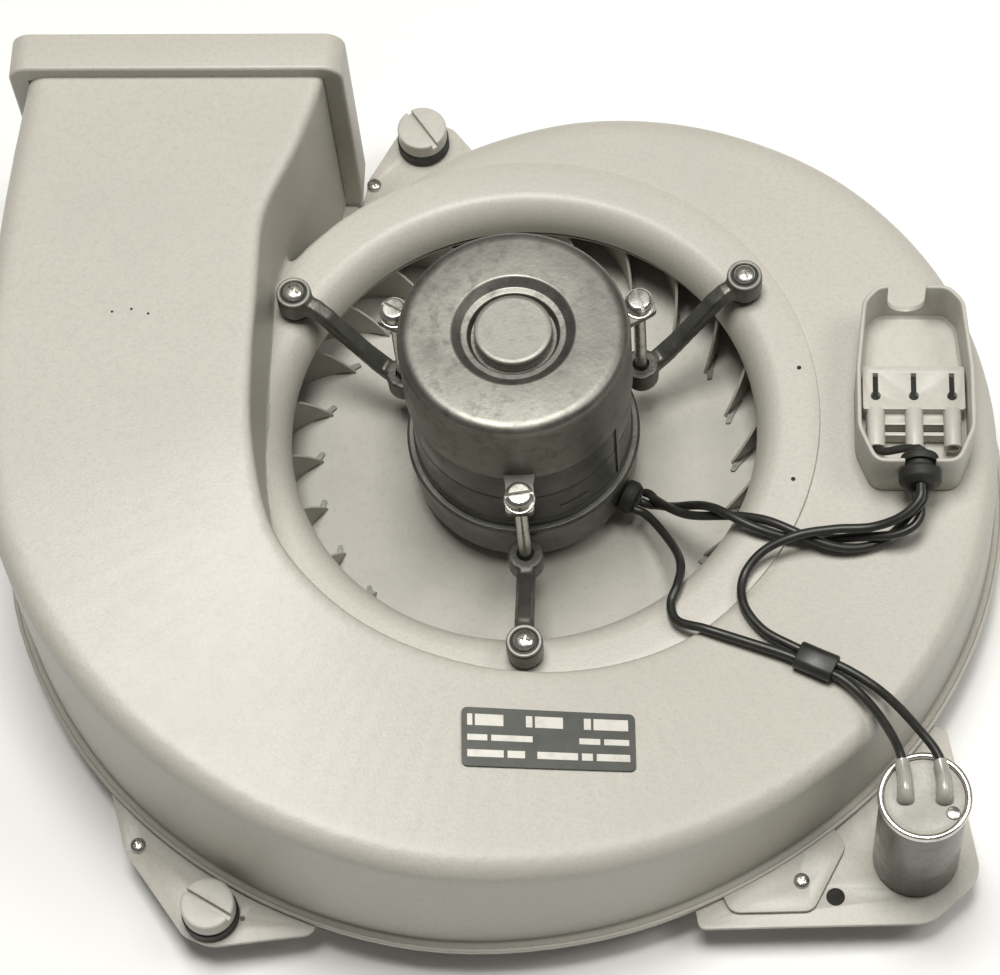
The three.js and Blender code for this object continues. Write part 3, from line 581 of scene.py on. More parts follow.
def uniform_curve(points, splits):
    """Uniform Catmull-Rom curve, the same number of steps in each span."""
    pts = [Vector(p) for p in points]
    pts = [pts[0] * 2 - pts[1]] + pts + [pts[-1] * 2 - pts[-2]]
    result = []
    for i in range(1, len(pts) - 2):
        p0, p1, p2, p3 = pts[i - 1:i + 3]
        for k in range(splits):
            t = k / splits
            result.append(0.5 * (2 * p1 + (p2 - p0) * t + (2 * p0 - 5 * p1 + 4 * p2 - p3) * t * t
                                 + (3 * p1 - p0 - 3 * p2 + p3) * t ** 3))
    return result + [pts[-2]]


def make_stations():
    """Pairs of points on the face's inner and outer edge, from the tongue to the duct's end."""
    inner, outer = [], []
    for degrees, wall, edge in SCROLL:
        top = face_height(degrees)
        inner.append((*spot(edge, degrees), top))
        outer.append((*spot(wall, degrees), top))
    for y, edge_x, wall_x in DUCT:
        inner.append((edge_x, y, DUCT_LEVEL))
        outer.append((wall_x, y, DUCT_LEVEL))
    return list(zip(uniform_curve(inner, SPLITS), uniform_curve(outer, SPLITS)))


STATIONS = make_stations()
WALL_STATION = 6 * SPLITS
DUCT_STATION = (len(SCROLL) - 1) * SPLITS


def offset_outline(offset, last=None):
    """The housing wall's plan, moved out by the offset."""
    result = []
    for inner, outer in STATIONS[:last]:
        across = (outer - inner).xy.normalized()
        result.append(tuple(outer.xy + across * offset))
    return result


def under_collar(x, y):
    return y > COLLAR_START - 1 and x < 0


def shell_core():
    """The housing's outside as overlapping solids, before they are fused."""
    low = 4
    bend, shoulder, draft = 7, 1.5, 1.2
    rings = []
    for inner, outer in STATIONS:
        across = (outer - inner).xy
        width, across = across.length, across.normalized()
        top = inner.z
        flat = [(0, low), (0, top - shoulder), (shoulder, top)]
        for turn in (0, 22, 45, 68, 90):
            s, c = sin(radians(turn)), cos(radians(turn))
            flat.append((width - bend + bend * s, top - bend + bend * c))
        flat.append((width + draft, low))
        rings.append([(inner.x + across.x * a, inner.y + across.y * a, z) for a, z in flat])
    run_out = 6
    rings.append([(x, y + run_out, z) for x, y, z in rings[-1]])
    tongue = [(-44, 86), *(spot(r, a) for r, a in TONGUE_EDGE), (-84, 50), (-60, 50)]
    return gathered(loft(rings), post(0, 0, 100.5, low, RING_LEVEL, 160), prism(tongue, low, RING_LEVEL))


def make_shell():
    """The melted core, opened at its back, its inlet and its outlet, then given the sheet's thickness."""
    shell = made("housing_shell", shell_core())
    melted(shell, voxel=1.15, passes=15)
    duct_end, duct_side = 120.5 * MM, -50 * MM
    cuts = ((0, 0, SHELL_BOTTOM * MM), (0, 0, -1), True), ((0, duct_end, 0), (0, 1, 0), False)
    opening, above, snap = 84.5 * MM, 45 * MM, 3 * MM
    with editing(shell.data) as b:
        for place, direction, clear in cuts:
            geometry = b.verts[:] + b.edges[:] + b.faces[:]
            bmesh.ops.bisect_plane(b, geom=geometry, plane_co=place, plane_no=direction, clear_outer=clear)
        hole = []
        for face in b.faces:
            middle = face.calc_center_median()
            in_inlet = middle.xy.length < opening and middle.z > above
            in_outlet = middle.y > duct_end and middle.x < duct_side
            if in_inlet or in_outlet:
                hole.append(face)
        bmesh.ops.delete(b, geom=hole, context="FACES")
        for edge in b.edges:
            if len(edge.link_faces) != 1:
                continue
            for v in edge.verts:
                if v.co.z > above and v.co.xy.length < opening + snap:
                    v.co.xy = v.co.xy.normalized() * opening
    modified(shell, "SOLIDIFY", thickness=SHEET * MM, offset=-1)
    dressed(shell, "paint", node="scroll_shell", degrees=50)


def make_flange():
    section = rounded([
        (-1.3, 15.65), (4.3, 15.65), (4.5, 17.5), (3.3, 17.75), (3, 17.1), (1.4, 17.1), (0.2, 18.3),
        (-1.3, 20),
    ], 0.4, 3)
    rings = []
    for inner, outer in STATIONS:
        if under_collar(outer.x, outer.y):
            continue
        across = (outer - inner).xy.normalized()
        rings.append([(outer.x + across.x * a, outer.y + across.y * a, z) for a, z in section])
    piece("shell_flange", loft(rings), "paint", degrees=40)
    outline = rounded([(66, -150), (70, -159.5), (96.5, -158.5), (107.5, -136), (98, -122)], 5, 6)
    tab = made("shell_tab", prism(outline, SHELL_BOTTOM, TAB_TOP))
    carved(tab, post(*EAR_SCREWS[2], 1.9, 14, 19, 24))
    dressed(edged(tab, 0.35), "paint")


def climbing_wall():
    """Where the climbing wall stands: angles from the tongue and radii, for the edge of the inlet ring."""
    wall = sorted(
        ((TONGUE - math.degrees(math.atan2(inner.y, inner.x))) % 360, inner.xy.length)
        for inner, _ in STATIONS[WALL_STATION:]
    )
    return zip(*wall)


def make_inlet_ring():
    """A flat ring whose rim stops at the climbing wall, with a rounded throat hanging from it."""
    wall_angles, wall_radii = climbing_wall()
    bend, throat, edge, widest = 87.5, 78.3, 45, 99
    thick, wall_gap, wall_start = 1.1, 0.3, 115
    flat = RING_LEVEL + 0.3
    top = flat + 1.2
    drop = top - edge
    rim = [(1, flat), (1, top - 0.35), (0.985, top - 0.08), (0.95, top), (0.6, top), (0.3, top - 0.05)]
    steps = 12
    angles = [pi / 2 * k / steps for k in range(steps + 1)]
    mouth = [(bend - (bend - throat) * sin(a), edge + (drop - 0.15) * cos(a)) for a in angles]
    mouth += [(bend - (bend - throat - thick) * sin(a), edge - 0.2 + (drop - 0.15 - thick) * cos(a))
              for a in reversed(angles)]
    segments = 240
    rings = []
    for k in range(segments):
        degrees = 360 * k / segments
        turn = (TONGUE - degrees) % 360
        limit = widest
        if turn > wall_start:
            limit = min(limit, float(np.interp(turn, wall_angles, wall_radii)) - wall_gap)
        ring = [(bend + share * (limit - bend), z) for share, z in rim] + mouth
        rings.append([(*spot(max(radius, throat), degrees), z) for radius, z in ring])
    piece("inlet_ring_skin", loft(rings, closed_path=True), "paint", node="inlet_ring", degrees=40)


def make_collar():
    """A folded strip swept round the four rounded corners of the duct's mouth."""
    left, right, low, high = -176.5, -62, 14, 103
    corner, reach, corner_steps = 7, 6.6, 8
    start, end = COLLAR_START, 122
    section = rounded([
        (start, reach), (start, 0, 1.3), (end, 0, 0.6), (end, 1.5, 0.5), (start + 1.5, 1.5, 0.6),
        (start + 1.5, reach),
    ], 0.2, 4)
    corners = ((right, high, 0), (left, high, 90), (left, low, 180), (right, low, 270))
    rings = []
    for x, z, begin in corners:
        cx = x - math.copysign(corner, x - (left + right) / 2)
        cz = z - math.copysign(corner, z - (low + high) / 2)
        for k in range(corner_steps + 1):
            a = radians(begin + 90 * k / corner_steps)
            c, s = cos(a), sin(a)
            rings.append([(cx + c * (corner - inset), y, cz + s * (corner - inset)) for y, inset in section])
    piece("collar_skin", loft(rings, closed_path=True), "paint", node="outlet_collar", degrees=40)


def make_plate():
    """The mounting plate: the housing's plan with three ears and their holes."""
    body = [p for p in offset_outline(3.8) if not under_collar(*p)]
    body += [(-174.5, 107), (-65, 107)]
    top = rounded([
        (-70, 60), (-67, 96, 0), (-62.5, 106.6, 0), (-61.2, 118, 3), (-50.6, 139, 6), (-41, 144.4, 10),
        (-31, 139.5, 6), (-14, 118, 2), (-30, 70),
    ], 2, 6)
    left = rounded([
        (-137, -112), (-128, -141, 3), (-107, -169, 7), (-98, -172.8, 12), (-64, -168, 5), (-60, -120),
    ], 2, 6)
    right = rounded([
        (50, -110), (60, -164.5, 3), (134, -161.5, 12), (151, -146, 12), (141, -95), (90, -70),
    ], 3, 8)
    plate = fused("plate_skin", *(prism(part, PLATE_BOTTOM, PLATE_TOP) for part in (body, top, left, right)))
    holes = [post(0, 0, 60, 12, 17, 96), post(*MOUNT_HOLE, 3, 12, 17, 32), post(-87.9, -163, 0.9, 12, 17, 12),
             post(*CAPACITOR, 4.3, 12, 17, 24)]
    holes += [post(x, y, 3.3, 12, 17, 24) for x, y, _ in KNOBS.values()]
    holes += [post(x, y, 1.9, 12, 17, 16) for x, y in EAR_SCREWS]
    carved(plate, *holes)
    dressed(edged(plate, 0.25, 2, 40), "paint", node="mounting_plate")


def make_back_cover():
    """A shallow tray: levels of (height, inset) down its outside, then up its inside."""
    centre = Vector((-10, -25))
    outline = offset_outline(-0.5, DUCT_STATION)
    outside = [(13.5, 0), (4.5, 0), (2.4, 0.5), (0.9, 1.8), (0.15, 3.8), (0, 5.5)]
    inside = [(1.5, 6.2), (1.9, 4.2), (3.2, 2.6), (5.5, 1.5), (13.5, 1.5)]
    skins = [
        loft([[(x, y, z) for x, y in shrunk(outline, centre, inset)] for z, inset in levels], caps=False)
        for levels in (outside, inside)
    ]
    verts, faces = gathered(*skins)
    count = len(outline)
    inner_floor = len(outside) * count
    outer_floor, inner_rim = inner_floor - count, len(verts) - count
    faces.append([outer_floor + j for j in range(count)])
    faces.append([inner_floor + j for j in range(count)][::-1])
    for j in range(count):
        k = (j + 1) % count
        faces.append([j, k, inner_rim + k, inner_rim + j])
    piece("back_cover_skin", (verts, faces), "paint", node="back_cover", degrees=40)


make_shell()
make_flange()
make_inlet_ring()
make_collar()
make_plate()
make_back_cover()


# ---- wheel
BLADES = 24


def blade_angle(t):
    """How far a backward-curved blade has swept round at this share of its length."""
    return 17.5 * t - 2.2 * sin(pi * t)


def blade():
    """One backward-curved blade: its inner edge slants up from the disc to the shroud."""
    half, root, depth, ahead = 0.45, 70, 22, 0.02
    rings = []
    for t in np.linspace(0, 1, 12):
        radius = root + depth * t
        x, y = spot(radius, blade_angle(t))
        x2, y2 = spot(radius + depth * ahead, blade_angle(t + ahead))
        normal = Vector((y2 - y, x - x2)).normalized() * half
        low = 22.6 + 1.1 * t
        high = np.interp(radius, (70, 79.5, 80.5, 86, 92), (low + 0.6, 41.2, 42, 41.3, 38.9))
        corners = (1, low), (-1, low), (-1, high), (1, high)
        rings.append([(x + side * normal.x, y + side * normal.y, z) for side, z in corners])
    return loft(rings)


def make_wheel():
    disc = rounded([
        (4.3, 20), (44, 20, 8), (92.4, 22.5), (93, 22.9, 0.2), (93, 24.3, 0.3), (92.2, 24.3, 0.2),
        (91.6, 23.6), (44, 21.2, 8), (4.3, 21.2),
    ], 0.2, 3)
    piece("wheel_disc_skin", lathe(disc, segments=144), "pale_sheet", "wheel", "impeller_disc")
    foot = prism(rounded([
        (69.3, -3, 0.8), (71, -3.4, 0.8), (72.8, -0.8, 1), (77.4, 4), (76.4, 5), (71.3, 1.6, 2),
        (70.4, -1, 1),
    ], 0.3, 3), 22.4, 23.45)
    shroud = rounded([
        (79.4, 42.2), (86, 41.6), (92.8, 39.4, 0.4), (93, 38.6, 0.3), (93, 37.4), (92.2, 37.4),
        (91.9, 38.9, 0.3), (85.8, 40.9), (79.4, 41.4),
    ], 0.2, 3)
    turns = range(0, 360, 360 // BLADES)
    cage = [turned(blade(), turn) for turn in turns] + [lathe(shroud, segments=144)]
    piece("wheel_cage_skin", gathered(*cage), "pale_sheet", "wheel", "impeller_blades")
    # painted shade: the blade feet take the darker steel finish, standing for the shade at the blades' feet
    piece("wheel_feet", gathered(*(turned(foot, turn) for turn in turns)), "grey_steel", "wheel")
    bush = rounded([(4.3, 9.5), (9, 9.5), (9, 16, 0.8), (16, 16), (16, 19.7), (4.3, 19.7)], 0.5, 3)
    piece("wheel_bush_skin", lathe(bush, segments=64), "grey_steel", "wheel", "impeller_bush")
    rivet = rounded([(0, 21.2), (2.6, 21.2), (2.6, 21.9), (1.6, 22.6), (0, 22.6)], 0.4, 3)
    heads = [lathe(rivet, spot(13, a), 20) for a in (30, 120, 210, 300)]
    piece("wheel_rivets", gathered(*heads), "grey_steel", "wheel")
    shaft = rounded([(0, 8), (4, 8, 0.6), (4, 110.8, 0.6), (0, 110.8)], 0, 3)
    piece("shaft_skin", lathe(shaft, segments=48), "bright_steel", "wheel", "motor_shaft")
    core = rounded([(4.3, 42), (23.6, 42, 0.5), (23.6, 96, 0.5), (4.3, 96)], 0, 3)
    piece("rotor_skin", lathe(core, segments=64), "dark_iron", "wheel", "rotor_core")


make_wheel()


# ---- motor
def at_grommet(shape):
    """Lays an upright shape along the line on which the leads leave the motor."""
    return turned(placed(shape, (0, 0, GROMMET_LEVEL), 90, "Y"), GROMMET_ANGLE)


def make_motor():
    can = rounded([
        (37.5, 83.8, 0.3), (37.5, 115, 4.6), (19.8, 115, 1.6), (16.9, 112.6, 0.9), (14.7, 112.5, 0.7),
        (13.9, 110, 0.4), (11.3, 110), (11.3, 103), (13.3, 103), (13.3, 108.2), (16.5, 110),
        (34.5, 110.4, 2), (35.9, 108.8, 1), (35.9, 83.8, 0.3),
    ], 0.2, 7)
    lug = prism(rounded([
        (36.4, -5.4), (41, -4.4, 2), (46.5, -4.7), (51.2, -4.6, 4.4), (51.2, 4.6, 4.4), (46.5, 4.7),
        (41, 4.4, 2), (36.4, 5.4),
    ], 0, 6), 84.2, 86.6)
    body = fused("motor_can_skin", lathe(can, segments=144), *(turned(lug, angle) for angle in ARM_ANGLES))
    carved(body, *(post(*spot(BOLT_CIRCLE, angle), 2.6, 80, 90, 20) for angle in ARM_ANGLES))
    dressed(body, "can_metal", node="motor_can", degrees=38)
    cap = rounded([
        (0, 111), (11, 111), (11.2, 110.2), (12.6, 110.2), (12.6, 115.2, 1), (11.2, 115.4, 0.3), (0, 115.25),
    ], 0, 5)
    piece("bearing_cap_skin", lathe(cap, segments=96), "cap_plating", node="bearing_cap")
    stack = rounded([
        (24.2, 48.3), (36.9, 48.3, 0.5), (36.9, 50.2, 0.4), (36.3, 50.8, 0.3), (36.3, 66.6, 0.2), (35.9, 67, 0.2),
        (36.3, 67.4, 0.2), (36.3, 82.4, 0.5), (35.4, 83.4), (35.4, 92), (24.2, 92),
    ], 0, 3)
    piece("stator_skin", lathe(stack, segments=128), "dark_iron", node="stator_core", degrees=30)
    upright, crosswise = block((36.1, -0.6, 51), (36.9, 0.6, 82)), block((36.1, -5, 56), (36.7, 5, 57))
    piece("stator_seam", gathered(turned(upright, -28), turned(crosswise, -60)), "dark_iron")
    shield = rounded([
        (5, 24), (30, 24, 4), (38, 27, 5), (38, 44.2, 0.6), (39.2, 44.8, 0.4), (39.2, 47.2, 0.9),
        (38.4, 48, 0.4), (36.4, 48), (36.4, 32, 3), (34, 26.2, 3), (13.4, 25.6), (13.4, 34), (11.3, 34),
        (11.3, 25.6), (5, 25.6),
    ], 0, 5)
    lower = made("lower_shield_skin", lathe(shield, segments=128))
    carved(lower, at_grommet(post(0, 0, 3.6, 32, 46, 32)))
    dressed(lower, "grey_steel", node="lower_shield", degrees=38)
    for name, low in (("upper", 103.5), ("lower", 26)):
        race = rounded([(4.3, low), (11, low), (11, low + 7), (4.3, low + 7)], 0.5, 3)
        piece(f"{name}_bearing_skin", lathe(race, segments=64), "bright_steel", node=f"{name}_bearing")
    grommet = rounded([
        (0, 34.8), (3.3, 34.8), (3.3, 38.3), (5.6, 38.3, 0.4), (5.8, 41.2, 1.2), (4.6, 43.1, 0.8), (0, 43.2),
    ], 0.3, 5)
    rubber = at_grommet(lathe(grommet, segments=48))
    piece("motor_grommet_skin", rubber, "black_rubber", node="motor_grommet")


def make_bolt(number, degrees):
    """A long slotted cheese-head bolt with its washer."""
    x, y = spot(BOLT_CIRCLE, degrees)
    shape = rounded([
        (0, 35), (2.1, 35), (2.1, 86.9), (4.6, 86.9, 0.1), (4.6, 90.6, 0.9), (3.6, 91.6, 1.2), (0, 91.6),
    ], 0.2, 5)
    bolt = made(f"motor_bolt_skin_{number}", lathe(shape, (x, y), 48))
    carved(bolt, placed(block((-6, -0.65, 90), (6, 0.65, 94)), (x, y, 0), 70 + 40 * number, "Z"))
    dressed(bolt, "bright_steel", node=f"motor_bolt_{number}", degrees=40)
    washer = rounded([(2.7, 86.65), (5.1, 86.65), (5.1, 87.35), (2.7, 87.35)], 0.2, 2)
    piece(f"bolt_washer_{number}", lathe(washer, (x, y), 40), "bright_steel")


def make_arm(number, degrees):
    """A cast arm: a tapering rib between two eyes, with its bush, rim and screw."""
    side = [
        (42.5, 38.5), (50, 38.2), (58, 42.5), (72, 54), (79, 60), (88, 60), (92, 60.4), (92.5, 66.5), (88, 67.3),
        (79, 67.4), (73.5, 64.6), (63, 54.5), (54, 47.2), (42.5, 47.2),
    ]
    thicker = [(50, 40), (78, 61.4), (88, 61.6), (88, 65.8), (79, 65.8), (60, 50.5), (52, 46)]
    rib = turned(prism(rounded(side, 1.6, 3), -2.2, 2.2), 90, "X")
    web = turned(prism(rounded(thicker, 1, 3), -3.2, 3.2), 90, "X")
    eyes = post(BOLT_CIRCLE, 0, 5.9, 38, 47.5), post(ARM_CIRCLE, 0, 6, 59.9, 68.6)
    arm = made(f"support_arm_skin_{number}", gathered(rib, web, *eyes))
    melted(arm, voxel=0.55, passes=5)
    carved(arm, post(BOLT_CIRCLE, 0, 2.9, 30, 55, 32), post(ARM_CIRCLE, 0, 4.6, 55, 75, 40),
           post(ARM_CIRCLE, 0, 5.3, 67.9, 75, 40))
    arm.data.transform(Matrix.Rotation(radians(degrees), 4, "Z"))
    dressed(arm, "cast_arm", node=f"support_arm_{number}", degrees=40)
    centre = spot(ARM_CIRCLE, degrees)
    bush = rounded([
        (2.3, 57.8), (5.6, 57.8, 0.9), (5.6, 59.6, 0.5), (4.4, 59.6), (4.4, 68.3, 0.3), (2.3, 68.3),
    ], 0.2, 4)
    piece(f"arm_bush_skin_{number}", lathe(bush, centre, 48), "black_rubber", node=f"arm_bush_{number}")
    rim = rounded([(4.4, 68), (5.8, 68), (5.8, 68.75), (5.4, 69), (4.8, 69), (4.4, 68.6)], 0.25, 3)
    piece(f"arm_eye_rim_{number}", lathe(rim, centre, 48), "cap_plating")
    make_cross_screw("arm_screw", number, centre, 68.5, 50, 3.6, 1.9, 25 * number)


def make_cross_screw(kind, number, centre, level, tip, head, shank, turn):
    """A domed screw with a cross recess; head and shank are radii."""
    rise = head * 0.6
    dome = [(head * sin(a), level + 0.35 * rise + 0.65 * rise * cos(a))
            for a in (1.571, 1.25, 0.95, 0.6, 0.3)]
    shape = [(0, tip), (shank * 0.6, tip), (shank, tip + 1.5), (shank, level), (head, level)]
    screw = made(f"{kind}_skin_{number}", lathe(shape + dome + [(0, level + rise)], segments=40))
    reach, wide = head * 0.62, head * 0.13
    slot_floor, slot_top = level + rise * 0.25, level + 6
    for x, y in ((reach, wide), (wide, reach)):
        carved(screw, block((-x, -y, slot_floor), (x, y, slot_top)))
    screw.data.transform(Matrix.Rotation(radians(turn), 4, "Z"))
    screw.data.transform(Matrix.Translation((centre[0] * MM, centre[1] * MM, 0)))
    dressed(screw, "bright_steel", node=f"{kind}_{number}", degrees=30)


make_motor()
for index, arm_angle in enumerate(ARM_ANGLES, 1):
    make_bolt(index, arm_angle)
    make_arm(index, arm_angle)


# ---- terminal box and its parts
def box_outline(margin):
    """The cup's plan: wide at the gland end, narrower at the cable notch."""
    right = [(13.8, -27, 6), (19.2, -14, 14), (19.2, 8, 20), (16.8, 33, 8), (11.8, 39, 7)]
    left = [(-x, y, r) for x, y, r in reversed(right)]
    outline = [(x + BOX_X, y) for x, y in rounded(right + left, 3, 6)]
    return shrunk(outline, (BOX_X, 4), margin)


def make_terminal_box():
    """The open cup, with its cable notch and the gland's seat."""
    low, high = 56.3, 77
    wall = ((0, low), (0, high - 0.5), (0.35, high), (1.15, high), (1.5, high - 0.5), (1.8, low + 3),
            (2.8, low + 2))
    cup = made("terminal_box_skin", loft([[(x, y, z) for x, y in box_outline(margin)] for margin, z in wall]))
    x, _, z = GLAND
    for tool in (
        block((121.3, 34, 68), (133.7, 44, 82)),
        placed(post(0, 0, 6.2, -5, 5, 40), (127.5, 38, 68), 90),
        block((x - 5, -31, z), (x + 5, -22, 82)),
        placed(post(0, 0, 5, -4, 4, 40), GLAND, 90),
    ):
        carved(cup, tool)
    dressed(edged(cup, 0.25, 2, 50), "white_plastic", node="terminal_box", degrees=40)


def make_terminal_block():
    """A moulded slab with three wire tubes, three slots and blades in them painted near-black as the slots' shade.
    """
    base, floor, wire_level, slot_y = 58.6, 60.5, 64, 3
    outline = rounded([(112.8, -2), (146.2, -2), (146.2, 14), (112.8, 14)], 1, 4)
    tubes = [placed(post(0, 0, 3, -15.5, -1.5, 36), (x, 0, wire_level), -90) for x in TERMINAL_XS]
    slab = fused("terminal_block_skin", prism(outline, base, 66), block((114, -6, base), (144.6, -1, 62.5)), *tubes)
    blades = []
    for x in TERMINAL_XS:
        carved(slab, placed(post(0, 0, 1.8, -19, -9, 24), (x, 0, wire_level), -90))
        carved(slab, post(x, slot_y, 1.7, floor, 70, 24))
        carved(slab, block((x - 0.9, slot_y, floor), (x + 0.9, 11.5, 70)))
        blades.append(post(x, slot_y, 1.5, floor + 0.1, 63.6, 20))
        blades.append(block((x - 0.7, slot_y, floor + 0.1), (x + 0.7, 11.2, 63.4)))
    for y in (-6.2, -10.2):
        combined(slab, block((TERMINAL_XS[0], y - 0.6, 59.5), (TERMINAL_XS[2], y + 0.6, 64.2)), "UNION")
    dressed(edged(slab, 0.22, 2, 45), "white_plastic", node="terminal_block", degrees=40)
    # painted shade: the blades take the near-black look so that the slots read dark
    piece("terminal_blades", gathered(*blades), "painted_shade")


def make_gland():
    """The rubber gland and the two short conductors from it to the terminals."""
    inner, outer = -25.1, -27.3
    profile = rounded([
        (0, outer - 6), (4.4, outer - 6, 1.2), (7, outer - 4.2, 1.6), (7, outer - 0.8, 1.2), (6.2, outer, 0.5),
        (4.7, outer), (4.7, inner), (6.2, inner, 0.4), (6.2, inner + 3, 1), (2.6, inner + 3.4, 0.4),
        (2.6, inner + 5.5, 0.5), (0, inner + 5.5),
    ], 0.2, 5)
    gland = placed(lathe(profile, segments=48), (GLAND[0], 0, GLAND[2]), -90)
    piece("cable_gland_skin", gland, "black_rubber", node="cable_gland", degrees=45)
    for number, (x, side) in enumerate(((TERMINAL_XS[0], -1.2), (TERMINAL_XS[1], 1.2)), 1):
        start = GLAND[0] + side
        route = catmull([
            (start, -21, 71), (start - 1.5, -18.6, 70.2), (x + 2.2, -17.8, 66.2), (x, -15.2, 64.2), (x, -10.5, 64),
        ], 16)
        rings = []
        for k, point in enumerate(route):
            along = heading(route, k)
            across = UP.cross(along).normalized()
            rings.append(oval_round(point, across * 1.35, along.cross(across) * 1.35, 16))
        piece(f"terminal_wire_{number}", loft(rings), "black_cable", degrees=50)


def make_capacitor():
    x, y = CAPACITOR
    profile = rounded([
        (0, 7), (3.9, 7, 0.4), (3.9, 15.6), (13.8, 15.6, 1.6), (13.8, 65.2, 0.6), (13.2, 65.9, 0.5),
        (13.8, 66.6, 0.5), (13.8, 67.1), (0, 67.1),
    ], 0.2, 5)
    piece("capacitor_can_skin", lathe(profile, (x, y), 96), "capacitor_tin", node="capacitor_can", degrees=38)
    rim = rounded([(12.7, 67.2), (14.5, 67.2, 0.5), (14.7, 68, 0.5), (14.6, 70, 1.3), (12.7, 70, 1)], 0.2, 6)
    piece("capacitor_rim", lathe(rim, (x, y), 96), "bright_steel")
    lid = rounded([(0, 67.4), (12.6, 67.4), (12.6, 68.6, 0.5), (11.2, 69, 0.6), (0, 69)], 0.2, 3)
    piece("capacitor_lid_skin", lathe(lid, (x, y), 72), "lid_grey", node="capacitor_lid")
    nut = made("capacitor_nut_skin", lathe([(4.2, 8.2), (7.5, 8.2), (7.5, 13.5), (4.2, 13.5)], (x, y), 6))
    dressed(edged(nut, 0.4), "bright_steel", node="capacitor_nut")
    rivet = rounded([(0, 69), (2.2, 69), (2.2, 69.6, 0.5), (0, 70.1)], 0.2, 4)
    piece("capacitor_rivet", lathe(rivet, (x + 8.6, y - 5.4), 28), "bright_steel")
    make_tab_sleeve(1, Vector((x - 6, y - 1.2, 69)), LEAD_A_ROUTE)
    make_tab_sleeve(2, Vector((x + 6, y - 1.2, 69)), LEAD_B_ROUTE)


def make_tab_sleeve(number, foot, route):
    """The elbow-shaped sleeve over a tab: it rises from the lid and bends over the end of a lead."""
    end = Vector(route[-1])
    along = (Vector(route[-2]) - end).normalized()
    knee, back = Vector((foot.x, foot.y, 71.8)), end + along * 1.2
    path = [bent(foot, knee, back, t) for t in np.linspace(0, 1, 9)]
    path += [back + along * reach for reach in (2.6, 4.9, 5.4)]
    rings = []
    for k, point in enumerate(path):
        share = k / (len(path) - 1)
        direction = heading(path, k)
        over = direction.cross(Vector((1, 0, 0))).normalized()
        across = over.cross(direction)
        wide = 2.9 - 0.8 * share
        deep = 1.6 + 0.9 * sin(pi * min(share * 1.3, 1)) + 0.45 * share
        rings.append(oval_round(point, across * wide, over * deep, 24))
    piece(f"capacitor_tab_skin_{number}", loft(rings), "clear_sleeve", node=f"capacitor_tab_{number}", degrees=60)


def make_knob(side):
    """A slotted quarter-turn knob on its rubber buffer."""
    x, y, turn = KNOBS[side]
    low = SHELL_BOTTOM
    ring = rounded([(3.4, low), (9.4, low, 0.8), (9, low + 2.4, 0.8), (9.4, low + 5, 0.8), (3.4, low + 5)], 0.2, 5)
    piece(f"buffer_{side}_skin", lathe(ring, (x, y), 64), "black_rubber", node=f"buffer_{side}")
    seat = low + 5.3
    top = seat + 6.5
    profile = rounded([(0, 6), (2.2, 6), (3, 7.2), (3, seat), (8.8, seat, 0.5), (8.8, top, 1), (0, top)], 0.2, 5)
    knob = made(f"knob_{side}_skin", lathe(profile, segments=72))
    carved(knob, turned(block((-12, -0.95, seat + 4.1), (12, 0.95, seat + 9)), turn))
    knob.data.transform(Matrix.Translation((x * MM, y * MM, 0)))
    dressed(edged(knob, 0.15, 2, 50), "white_plastic", f"{side}_knob", f"knob_{side}", degrees=40)


make_terminal_box()
make_terminal_block()
make_gland()
make_capacitor()
make_knob("top")
make_knob("left")
for index, (place, seat_level) in enumerate(zip(EAR_SCREWS, (SHELL_BOTTOM, SHELL_BOTTOM, TAB_TOP + 0.1)), 1):
    make_cross_screw("ear_screw", index, place, seat_level, 9, 2.6, 1.6, 20 * index)


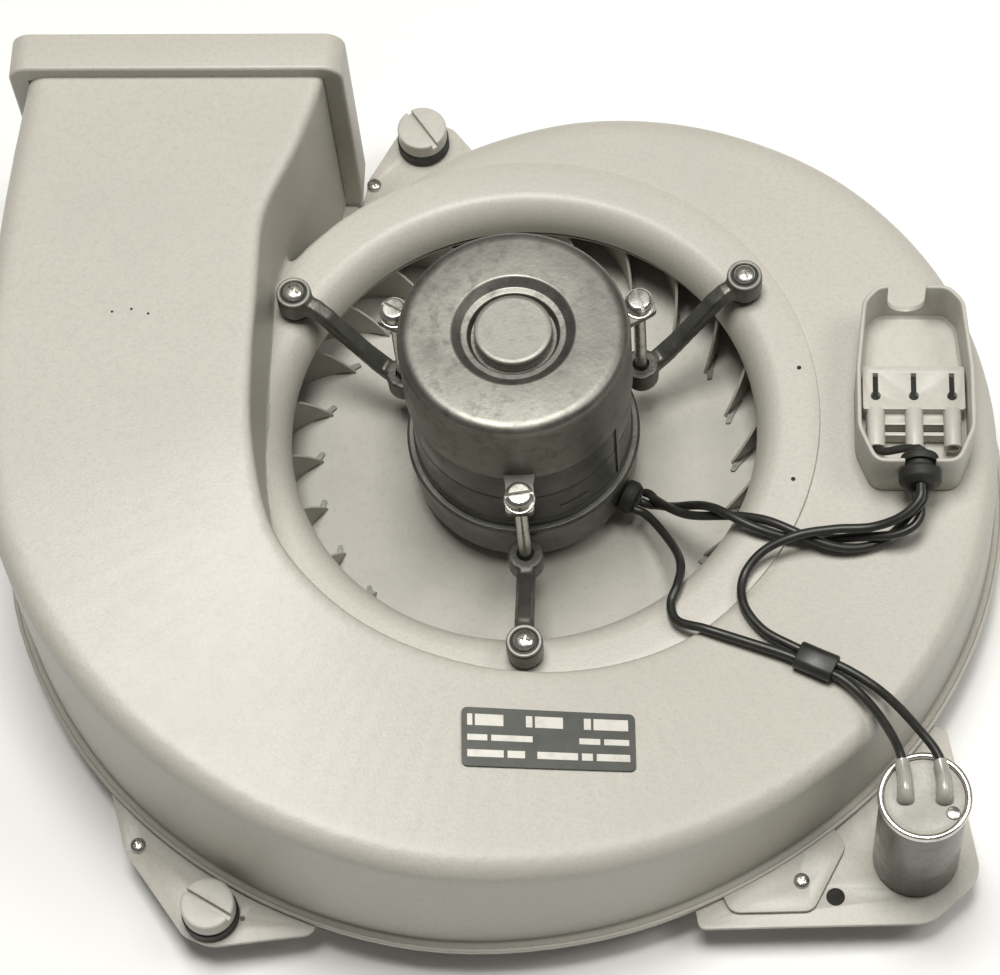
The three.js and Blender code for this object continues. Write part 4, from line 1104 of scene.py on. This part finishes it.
# ---- plate and small details
def make_rating_plate():
    """A thin plate that follows the climbing face, with plain bars on it."""
    x0, x1, y0, y1 = -14, 40, -133.2, -113.7
    middle = Vector(((x0 + x1) / 2, (y0 + y1) / 2))
    tilt = Matrix.Rotation(radians(2.4), 2)

    def laid(x, y, rise):
        """A plate point, turned with the plate and laid on the face."""
        q = middle + tilt @ (Vector((x, y)) - middle)
        return q.x, q.y, face_height(math.degrees(math.atan2(q.y, q.x))) + rise

    def slip(left, right, bottom, top, rise, thick, corner=0):
        """A thin strip in slices from left to right, with rounded corners if asked."""
        steps = [corner * (1 - cos(radians(a))) for a in (0, 30, 60)] if corner else []
        inner = np.linspace(left + corner, right - corner, max(int((right - left) / 4), 2))
        rings = []
        for x in [left + d for d in steps] + list(inner) + [right - d for d in reversed(steps)]:
            reach = max(corner - min(x - left, right - x), 0)
            cut = corner - math.sqrt(corner ** 2 - reach ** 2)
            rows = [bottom + cut, (bottom + top) / 2, top - cut]
            rings.append([laid(x, y, rise) for y in rows] + [laid(x, y, rise + thick) for y in reversed(rows)])
        return loft(rings)

    plate = slip(x0, x1, y0, y1, rise=0.3, thick=0.7, corner=1.8)
    piece("rating_plate_skin", plate, "name_plate", node="rating_plate", degrees=30)
    marks = []
    rows = (
        (-117.8, 3.8, ((-12.2, -10.6), (-9.8, -1), (6, 8), (8.8, 17.5), (24, 26.2), (27, 37.8))),
        (-123.7, 2, ((-12.2, -6), (-4.8, 8), (22.5, 29), (30.2, 38))),
        (-129, 2.4, ((-12.2, -1), (0.2, 5.6), (9.4, 22), (23.2, 26.6), (27.8, 38.2))),
    )
    for row, height, spans in rows:
        for left, right in spans:
            marks.append(slip(left, right, row - height / 2, row + height / 2, rise=0.95, thick=0.12))
    piece("rating_plate_bars", gathered(*marks), "plate_marks")


def make_pin_holes():
    """Dark pins of painted shade that stand for the shadowed inside of two holes in the inlet ring, three pricks in
    the duct and the plate's hole.
    """
    dots = [post(x, y, 0.75, 56, 57.62, 16) for x, y in ((92.2, 18.1), (90, -23.6))]
    dots += [post(x, y, 0.45, 97.5, 98.1, 12) for x, y in ((-132.8, 16), (-126.5, 17), (-120.8, 15.3))]
    # painted shade: a dark disc inside the plate's real hole, where the floor would show through
    dots.append(post(*MOUNT_HOLE, 2.95, 14, 14.6, 32))
    piece("pin_holes", gathered(*dots), "painted_shade")


make_rating_plate()
make_pin_holes()


# ---- floor and light
def make_stage():
    bpy.ops.mesh.primitive_plane_add(size=8, location=(0, 0, -0.0005))
    floor = bpy.context.object
    floor.name = "floor"
    n = Nodes("floor_white")
    n.fill(n.shader, {"Base Color": (0.84, 0.837, 0.825, 1), "Roughness": n.ramp(n.noise(6), 0.3, 0.7, 0.75, 0.9)})
    floor.data.materials.append(n.material)

    def area(name, place, size, watts):
        light = bpy.data.lights.new(name, "AREA")
        light.shape = "RECTANGLE"
        light.size = light.size_y = size
        light.energy = watts
        light.color = (1, 0.985, 0.955)
        obj = in_scene(name, light)
        obj.location = place
        aim = Vector((0, 0, 0.05)) - Vector(place)
        obj.rotation_mode = "QUATERNION"
        obj.rotation_quaternion = aim.to_track_quat("-Z", "Y")

    area("key", (-0.08, 0.24, 2.65), 1, 70)
    area("fill", (1.2, 0.05, 1.9), 0.8, 13)
    world = bpy.data.worlds.new("studio")
    world.use_nodes = True
    background = world.node_tree.nodes["Background"].inputs
    background["Color"].default_value = (1, 0.99, 0.965, 1)
    background["Strength"].default_value = 0.09
    bpy.context.scene.world = world
    bpy.context.scene.view_settings.view_transform = "Standard"


make_stage()
